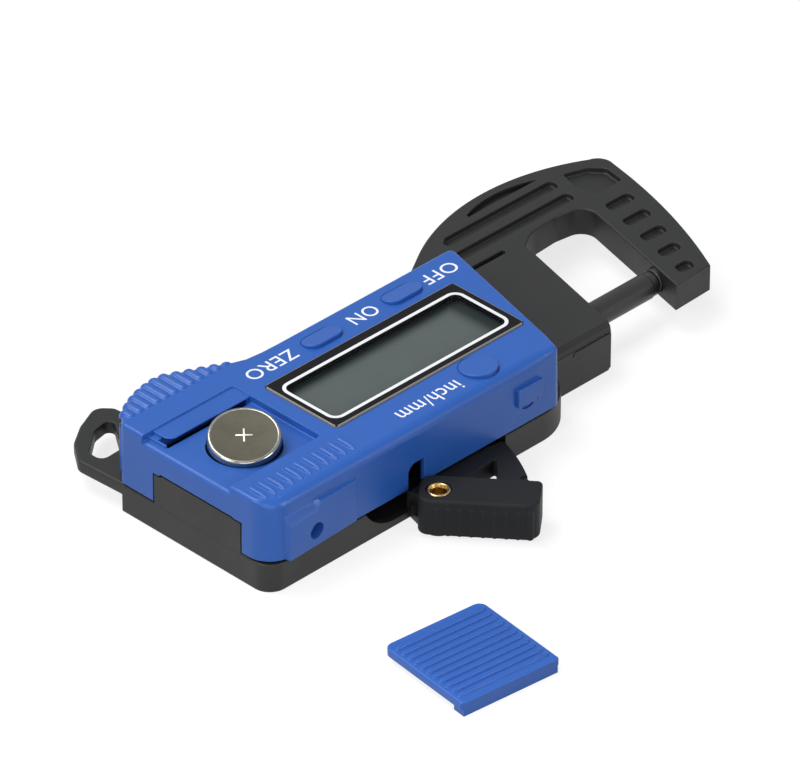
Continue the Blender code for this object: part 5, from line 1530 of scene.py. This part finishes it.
        tongue = moulding("tongue", tongue_line, lay.end_x - 1.7, lay.end_x - 0.04, axis=Axis.X)
        post = moulding("post", circle((-19.5, -4.2), 0.7, 20), self.floor - 0.2, 4.7)
        welded(body, self.block(), jaw, lug, tongue, ear, post)
        for i, (x, y) in enumerate(lay.screws):
            welded(body, moulding(f"pillar_{i}", circle((x, y), self.pillar_r, 32), 0.2, part - 0.01))
            carved(
                body, moulding(f"hole_{i}", circle((x, y), self.screw_hole_r, 24), -1, part + 5),
                hollow(f"head_{i}", circle((x, y), self.screw_head_r, 32), self.screw_head_z, 0.0, lip=0.15)
            )
        self.bores(body)
        return dressed(body, BLACK_NYLON, "gauge", ("frame",))

    def ear_outline(self) -> Outline:
        """The lanyard ear seen from above."""
        return tidied(
            rounded(
                [
                    (43.7, -15.0, 0.0), (44.3, -25.8, 2.0), (41.3, -30.0, 3.0), (37.4, -32.7, 4.0),
                    (32.2, -35.0, 2.2), (30.0, -32.6, 1.5), (29.4, -27.0, 3.0), (27.5, -21.4, 0.0)
                ],
                8
            )
        )

    def bores(self, body: Piece) -> None:
        """Cuts the spindle's and the anvil's bores, the lever's slot and the rivet's seat."""
        lay = self.layout
        near = lay.near_y
        px, py = lay.pivot
        slot = [(px - 19.9, lay.parting_z + 1), (px - 19.9, 1.4)]
        slot += arc_through((px + 4.6, 1.4), (px + 8.6, 2.6), (px + 11.1, lay.parting_z + 0.2), 12)
        slot += [(px + 11.1, lay.parting_z + 1)]
        axis_y, axis_z = lay.spindle.y, lay.spindle.z
        bore = circle((axis_y, axis_z), lay.spindle_r + self.spindle_gap, 48)
        seat_x = lay.slant(lay.arm_inner_x, axis_y)
        anvil = circle((axis_y, axis_z + 0.3), self.anvil_bore_r, 48)
        carved(
            body, moulding("lever_slot", slot, near - 2.5, near + 1, axis=Axis.Y),
            moulding("spindle_bore", bore, lay.arm_inner_x + 3, lay.block_rear_x + 2, axis=Axis.X),
            moulding("anvil_bore", anvil, seat_x - 2.6, seat_x + 3, axis=Axis.X),
            moulding("rivet_hole", circle((px, py), self.rivet_hole_r, 32), -1, 2.4),
            hollow("rivet_seat", circle((px, py), self.rivet_seat_r, 32), 0.55, 0.0, lip=0.1),
            *self.pockets()
        )


@dataclass
class Measuring:
    """The spindle, its face and the anvil."""

    layout: Layout
    anvil_proud: float = 0.9
    anvil_seat: float = 2.6
    anvil_rise: float = 0.3
    tip_length: float = 1.2
    gap: float = 0.15

    def build(self) -> None:
        """Turns the three round parts."""
        lay = self.layout
        y, z = lay.spindle.y, lay.spindle.z
        seat_x = lay.slant(lay.arm_inner_x, y)
        face = seat_x + self.anvil_proud
        along = Vector((1, 0, 0))
        length = self.anvil_proud + self.anvil_seat - 0.3
        anvil = turned(
            "anvil_face", [(0, 0), (1.85, 0), (2.0, 0.15), (2.0, length), (0, length)],
            Vector((face, y, z + self.anvil_rise)), -along
        )
        dressed(anvil, SPINDLE_COMPOSITE, "gauge", ("anvil",))
        tip_x = face + self.gap
        tip = turned(
            "spindle_face", [(0, 0), (1.9, 0), (2.05, 0.15), (2.05, self.tip_length), (0, self.tip_length)],
            Vector((tip_x, y, z)), along
        )
        dressed(tip, SPINDLE_COMPOSITE, "spindle_slide_body", ("spindle_tip",))
        low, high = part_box("spindle")
        start, end = low.x / MM, high.x / MM
        rod_length = end - start
        r = lay.spindle_r
        rod = turned(
            "spindle_rod",
            [
                (0, 0), (r - 0.15, 0), (r, 0.15), (r, rod_length - 0.15), (r - 0.15, rod_length),
                (0, rod_length)
            ],
            Vector((start, y, z)), along, 72
        )
        dressed(rod, SPINDLE_COMPOSITE, "spindle_slide_body", ("spindle",))


@dataclass
class Thumb:
    """The thumb lever with its grip pad, open truss and drive finger, and its brass rivet."""

    layout: Layout
    low_z: float = 1.7
    pad_low_z: float = 0.8
    top_z: float = 7.3
    truss_z: float = 4.9
    finger_z: float = 3.4
    turn: float = 129.5
    start: float = -3.1
    end: float = 16.0
    outer: float = 3.5
    inner: float = -3.9
    ridges: int = 9
    ridge_pitch: float = 1.82
    apex: Flat = (-6.6, 17.7)
    beam: float = 2.5
    travel: float = 12.7
    lug_room_r: float = 2.9
    bore_r: float = 1.6
    counterbore_r: float = 2.1

    def at(self, along: float, out: float) -> Flat:
        """A point of the pad, from distances along it and outwards from its pivot."""
        px, py = self.layout.pivot
        a = math.radians(self.turn)
        return (px + along * math.cos(a) + out * math.sin(a), py + along * math.sin(a) - out * math.cos(a))

    def pad(self) -> Piece:
        """The grip pad with its ridged outer face."""
        corners = [
            (*self.at(self.start, self.inner), 2.2), (*self.at(self.start, self.outer), 1.9),
            (*self.at(self.end, self.outer), 2.3), (*self.at(self.end, self.inner), 0.9)
        ]
        low = self.pad_low_z
        pad = moulding("thumb_lever", tidied(rounded(corners, 10)), low, self.top_z, rim=0.5, foot=0.2)
        ridges = []
        for i in range(self.ridges):
            x, y = self.at(self.end - 1.5 - i * self.ridge_pitch, self.outer - 0.42)
            levels = [
                (0.45, low + 0.02), (0.66, low + 0.2), (0.66, self.top_z - 1.6), (0.3, self.top_z - 0.9)
            ]
            path = [Vector((x, y, z)) for _, z in levels]
            ridges.append(swept(f"grip_{i}", path, [r for r, _ in levels], 18))
        welded(pad, *ridges)
        # Room over the frame's lug, which the pad hangs down around
        px, py = self.layout.pivot
        arm = [(px - 2.9, py + 1.2), (px - 8, py - 2.5), (px - 6, py - 8), (px + 3, py - 8), (px + 3, py)]
        room = moulding("lug_room", circle((px, py), self.lug_room_r, 40), -1, self.low_z)
        return carved(pad, room, moulding("arm_room", arm, -1, self.low_z))

    def truss(self) -> Piece:
        """The open truss and the drive finger that reaches the carriage."""
        px, py = self.layout.pivot
        ax, ay = self.apex
        outline = [(ax + 3.6, ay - 1.5), (ax - 0.2, ay - 0.8)]
        outline += arc_through(
            (ax - 0.5, ay - 0.1), (ax + 1.2, ay + 4.3), self.at(self.end - 1.6, self.inner + 0.4), 20
        )
        outline += [self.at(self.end - 4.5, self.inner + 1.5), (px, py + 1), (px + 1.5, ay - 1.5)]
        truss = moulding("truss", tidied(outline), self.low_z, self.truss_z, rim=0.2)
        beam = self.beam
        opening = ((3.6, beam - 0.6), (12.6, beam + 0.2), (7.6, beam + 3.8))
        window = rounded([(ax + dx, ay + dy, 0.3) for dx, dy in opening], 4)
        sunk = ((4.2, 8.2), (5.3, 8.6), (4.0, 10.2), (3.2, 9.6))
        web = rounded([(ax + dx, ay + dy, 0.25) for dx, dy in sunk], 4)
        carved(
            truss, hollow("window", window, self.low_z - 1, self.truss_z, lip=0.15),
            hollow("web", web, self.truss_z - 0.6, self.truss_z, lip=0.12, fillet=0.2)
        )
        tip = Vector((px - self.travel / 2, self.layout.spindle.y))
        root = Vector((px, ay + 1.5))
        way = (tip - Vector((px, py))).normalized()
        side = Vector((way.y, -way.x))
        before = tip - way * 0.2
        neck = tip - way * 4.0
        line = [
            root + side * 2.6, neck + side * 0.9, before + side * 0.9, before - side * 0.9,
            neck - side * 0.9, root - side * 2.6
        ]
        finger = moulding("finger", [tuple(p) for p in line], self.low_z, self.finger_z)
        pin = moulding("pin", circle(tuple(tip), 1.1, 32), self.low_z, self.finger_z, rim=0.15)
        return welded(truss, finger, pin)

    def rivet(self) -> None:
        """Turns the hollow brass rivet with its rolled flanges."""
        px, py = self.layout.pivot
        low, high = 0.1, self.top_z - 0.05
        head = arc((1.68, high - 0.26), 0.26, 0, 180, 8)
        profile = [
            (1.2, low + 0.1), (1.3, low), (1.75, low), (1.85, low + 0.1), (1.85, low + 0.3),
            (1.45, low + 0.35)
        ]
        profile += [(1.45, high - 0.42), (1.92, high - 0.3)] + head + [(1.3, high - 0.5), (1.2, high - 0.9)]
        dressed(
            turned("lever_eyelet", profile, Vector((px, py, 0)), Vector((0, 0, 1)), 64), BRASS, "gauge",
            ("lever_rivet",), angle=50
        )

    def build(self) -> None:
        """Models the lever and its rivet."""
        lever = welded(self.pad(), self.truss())
        px, py = self.layout.pivot
        carved(
            lever,
            moulding("lever_bore", circle((px, py), self.bore_r, 48), self.low_z - 1, self.top_z + 1),
            hollow(
                "counterbore", circle((px, py), self.counterbore_r, 48), self.top_z - 0.6, self.top_z,
                lip=0.1
            )
        )
        dressed(lever, LEVER_NYLON, "thumb_lever", ("lever",))
        self.rivet()


@dataclass
class Cell:
    """The button cell, tipped up in its pocket, with a plus stamped in its top."""

    radius: float = 5.8
    height: float = 5.4
    cap: float = 0.35
    tilt: float = 15.0
    tilt_to: float = 45.0
    rim_r: float = 0.45
    mark_turn: float = 2.0
    mark_half: Flat = (1.35, 0.14)
    top: Vector = field(default_factory=lambda: Vector((33.6, 0.8, 17.8)))

    def build(self) -> None:
        """Turns the can and stamps its mark."""
        a, t = math.radians(self.tilt_to), math.radians(self.tilt)
        up = Vector((math.cos(a) * math.sin(t), math.sin(a) * math.sin(t), math.cos(t)))
        r, h, c = self.radius, self.height, self.cap
        foot = self.top - up * h
        roll = [math.radians(k) for k in range(0, 91, 15)]
        rim = [(r + self.rim_r * (math.cos(k) - 1), h - self.rim_r * (1 - math.sin(k))) for k in roll]
        profile = [(0, 0), (r - 1.3, 0), (r - 1.1, 0.1), (r - 1.1, c), (r - 0.3, c), (r, c + 0.3)]
        profile += rim + [(r - 0.56, h - 0.05), (0, h - 0.05)]
        can = turned("button_cell", profile, foot, up, 96)
        can.data.materials.append(CELL_RIM.material())
        can.data.materials.append(CELL_TOP_PAINTED_SHADE.material())
        # The flat top takes the darker copy of the can's nickel, painted shade; the rolled rim keeps the
        # lighter one
        for face in can.data.polygons:
            takes_painted_shade = (face.center / MM - self.top).length < r - 0.6
            if face.normal.dot(up) > 0.95 and takes_painted_shade:
                face.material_index = 1
        dressed(can, CELL_RIM, "cell", ("battery_cell",), angle=40)
        level = h - 0.05
        bars = []
        for name, (half_x, half_y) in (("bar_x", self.mark_half), ("bar_y", self.mark_half[::-1])):
            line = around((0.0, 0.0), half_x, half_y, 0.1, 3)
            bars.append(moulding(name, line, level - 0.05, level + 0.03, rim=0.03))
        mark = named(welded(*bars), "cell_plus_mark")
        turn = up.to_track_quat("Z", "Y").to_matrix().to_4x4()
        mark.data.transform(
            Matrix.Translation(foot * MM) @ turn @ Matrix.Rotation(math.radians(self.mark_turn), 4, "Z")
        )
        dressed(mark, CELL_MARK, "cell")


@dataclass
class BatteryCover:
    """The ribbed battery cover, lying beside the gauge."""

    side: float = 19.1
    thick: float = 1.4
    centre: Flat = (34.4, 51.1)
    turn: float = -6.5
    foot: float = 1.2
    ribs: int = 11
    rib_pitch: float = 1.52
    lip: float = 2.4

    def build(self) -> None:
        """Models the plate, its lip and its ribs, then lays it down."""
        half = self.side / 2
        low, high = self.foot, self.foot + self.thick
        outline = tidied(
            rounded([(-half, -half, 1.5), (half, -half, 1.5), (half, half, 0.5), (-half, half, 0.5)], 8)
        )
        plate = moulding("battery_lid", outline, low, high, rim=0.3, foot=0.15)
        lip = [
            (half - self.lip, 0.0), (half, 0.0), (half, high - 0.9), (half - 0.9, high),
            (half - self.lip, high)
        ]
        edge = moulding("lid_lip", lip, -half + 0.4, half - 0.4, axis=Axis.X)
        hook = moulding(
            "lid_hook", rectangle((half - 3.0, -half + 1.2), (half - 2.4, half - 1.9)), 0.0, low + 0.3
        )
        tongue = moulding(
            "lid_tongue", rectangle((-half + 1.0, -half + 0.6), (-half + 1.6, -half + 6.0)), 0.0, low + 0.3
        )
        welded(plate, edge, hook, tongue)
        first = -half + 2.1
        ridges = []
        span = half - 0.75
        run = [(-span, 0.3), (-span + 0.3, 0.05), (-span + 0.8, 0), (0, 0)]
        run += [(span - 0.8, 0), (span - 0.3, 0.05), (span, 0.3)]
        for i in range(self.ribs):
            y = first + i * self.rib_pitch
            path = [Vector((x, y, high + 0.02 - dip)) for x, dip in run]
            ridges.append(swept(f"lid_rib_{i}", path, [0.15, 0.38, 0.46, 0.46, 0.46, 0.38, 0.15], 14))
        lid = gathered("battery_lid", plate, *ridges)
        place = Matrix.Translation(Vector((*self.centre, 0)) * MM)
        lid.data.transform(place @ Matrix.Rotation(math.radians(self.turn), 4, "Z"))
        dressed(lid, BLUE_ABS, "cover", ("battery_cover",))


@dataclass
class Inside:
    """The carried-over CAD nodes inside the case, each with its own finish."""

    finishes: dict[str, Finish] = field(
        default_factory=lambda: {
            "circuit_board": BOARD_MASK, "display_chip": EPOXY, "lcd_contact_strip_far": RUBBER,
            "lcd_contact_strip_near": RUBBER, "key_dome_off": SPRING_STEEL, "key_dome_on": SPRING_STEEL,
            "key_dome_unit": SPRING_STEEL, "contact_positive": SPRING_STEEL,
            "contact_negative": SPRING_STEEL, "return_spring": SPRING_STEEL, "carriage": BLACK_NYLON,
            "sensor_strip": BOARD_MASK, "case_screw_jaw_far": STEEL, "case_screw_jaw_near": STEEL,
            "case_screw_end_near": STEEL, "case_screw_end_far": STEEL
        }
    )

    def build(self) -> None:
        """Assigns the finishes."""
        for name, finish in self.finishes.items():
            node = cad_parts[name]
            if not node.data.materials:
                node.data.materials.append(None)
            for slot in node.material_slots:
                slot.material = finish.material()
            LOG.info("%s: %s", name, finish.name)


# The studio


@dataclass
class Studio:
    """A white floor, soft lamps and the camera at the photograph's angle."""

    azimuth: float = 135.094
    elevation: float = 34.37
    distance: float = 1.2668
    lens: float = 360.0
    sensor: float = 36.0
    aim_right: float = 5.72
    aim_up: float = 51.02
    focal_px: float = 8000.0
    floor_size: float = 6.0
    paper_glow: float = 0.78
    room_light: float = 0.24
    room_mirrored: float = 0.38

    def axes(self) -> tuple[Vector, Vector, Vector]:
        """The camera's back, right and up directions."""
        a, e = math.radians(self.azimuth), math.radians(self.elevation)
        back = Vector((math.sin(a) * math.cos(e), -math.cos(a) * math.cos(e), math.sin(e)))
        right = Vector((math.cos(a), math.sin(a), 0))
        return back, right, back.cross(right)

    def camera(self) -> None:
        """Places the camera."""
        back, right, up = self.axes()
        data = bpy.data.cameras.new("camera")
        data.lens = self.lens
        data.sensor_width = self.sensor
        data.clip_start = 0.05
        data.clip_end = 20
        item = bpy.data.objects.new("camera", data)
        bpy.context.scene.collection.objects.link(item)
        forward = (-back * self.focal_px + right * self.aim_right + up * self.aim_up).normalized()
        item.location = back * self.distance
        item.rotation_euler = forward.to_track_quat("-Z", "Y").to_euler()
        bpy.context.scene.camera = item

    def lamp(self, name: str, way: Vector, distance: float, size: float, power: float) -> None:
        """Hangs one soft square lamp that looks at the gauge."""
        data = bpy.data.lights.new(name, "AREA")
        data.shape = "SQUARE"
        data.size = size
        data.energy = power
        item = bpy.data.objects.new(name, data)
        bpy.context.scene.collection.objects.link(item)
        item.location = way.normalized() * distance
        item.rotation_euler = (-way).to_track_quat("-Z", "Y").to_euler()

    def floor(self) -> None:
        """Lays the floor, white to the eye and keeping the soft shadow."""
        bpy.ops.object.select_all(action="DESELECT")
        bpy.ops.mesh.primitive_plane_add(size=self.floor_size, location=(0, 0, 0))
        plane = named(bpy.context.object, "studio_floor")
        made = bpy.data.materials.new("studio_paper")
        made.use_nodes = True
        tree = made.node_tree
        tree.nodes.clear()
        paper = add_node(tree, "ShaderNodeBsdfDiffuse", {"Color": linear("#8c8c8c")})
        recipe = Recipe(tree, paper)
        seen = add_node(tree, "ShaderNodeLightPath").outputs
        first = recipe.math("MAXIMUM", {0: seen["Is Camera Ray"], 1: seen["Is Glossy Ray"]})
        both = recipe.math("MAXIMUM", {0: first, 1: seen["Is Transmission Ray"]})
        lift = recipe.math("MULTIPLY", {0: both}, {1: self.paper_glow})
        glow = add_node(tree, "ShaderNodeEmission", {"Color": (1, 1, 1, 1)}, {"Strength": lift})
        layers = {0: paper.outputs["BSDF"], 1: glow.outputs["Emission"]}
        total = add_node(tree, "ShaderNodeAddShader", links=layers)
        add_node(tree, "ShaderNodeOutputMaterial", links={"Surface": total.outputs["Shader"]})
        plane.data.materials.append(made)

    def world(self) -> None:
        """Fills the room with pale light."""
        scene = bpy.context.scene
        world = bpy.data.worlds.new("studio_room")
        world.use_nodes = True
        tree = world.node_tree
        tree.nodes.clear()
        # The room lights the gauge softly, and shows brighter where plastic, metal and glass mirror it
        seen = add_node(tree, "ShaderNodeLightPath").outputs
        room = add_node(tree, "ShaderNodeBackground", {"Color": linear("#f2f5fb")})
        recipe = Recipe(tree, room)
        glow = {1: self.room_mirrored, 2: self.room_light}
        recipe.feed("Strength", recipe.math("MULTIPLY_ADD", {0: seen["Is Glossy Ray"]}, glow))
        add_node(tree, "ShaderNodeOutputWorld", links={"Surface": room.outputs["Background"]})
        scene.world = world
        scene.view_settings.view_transform = "Standard"

    def build(self) -> None:
        """Sets up the whole studio."""
        self.camera()
        self.floor()
        self.world()
        self.lamp("key_lamp", Vector((0.25, -0.75, 1.6)), 1.4, 0.8, 13.0)
        self.lamp("end_lamp", Vector((1.0, 0.0, 0.75)), 1.2, 0.5, 5.5)
        self.lamp("side_lamp", Vector((-0.35, 1.0, 0.42)), 1.3, 0.5, 4.5)
        self.lamp("corner_lamp", Vector((0.10, 0.09, 0.055)), 0.145, 0.07, 0.03)


def main() -> None:
    """Builds the gauge, then the studio."""
    logging.basicConfig(level=logging.INFO, format="%(name)s %(message)s")
    layout = Layout()
    case = Case(layout)
    for part in (
        case, Lettering(layout), Display(layout), Keys(case), Chassis(layout), Measuring(layout),
        Thumb(layout), Cell(), BatteryCover(), Inside()
    ):
        LOG.info("building %s", type(part).__name__)
        part.build()
    Studio().build()


if __name__ == "__main__":
    main()
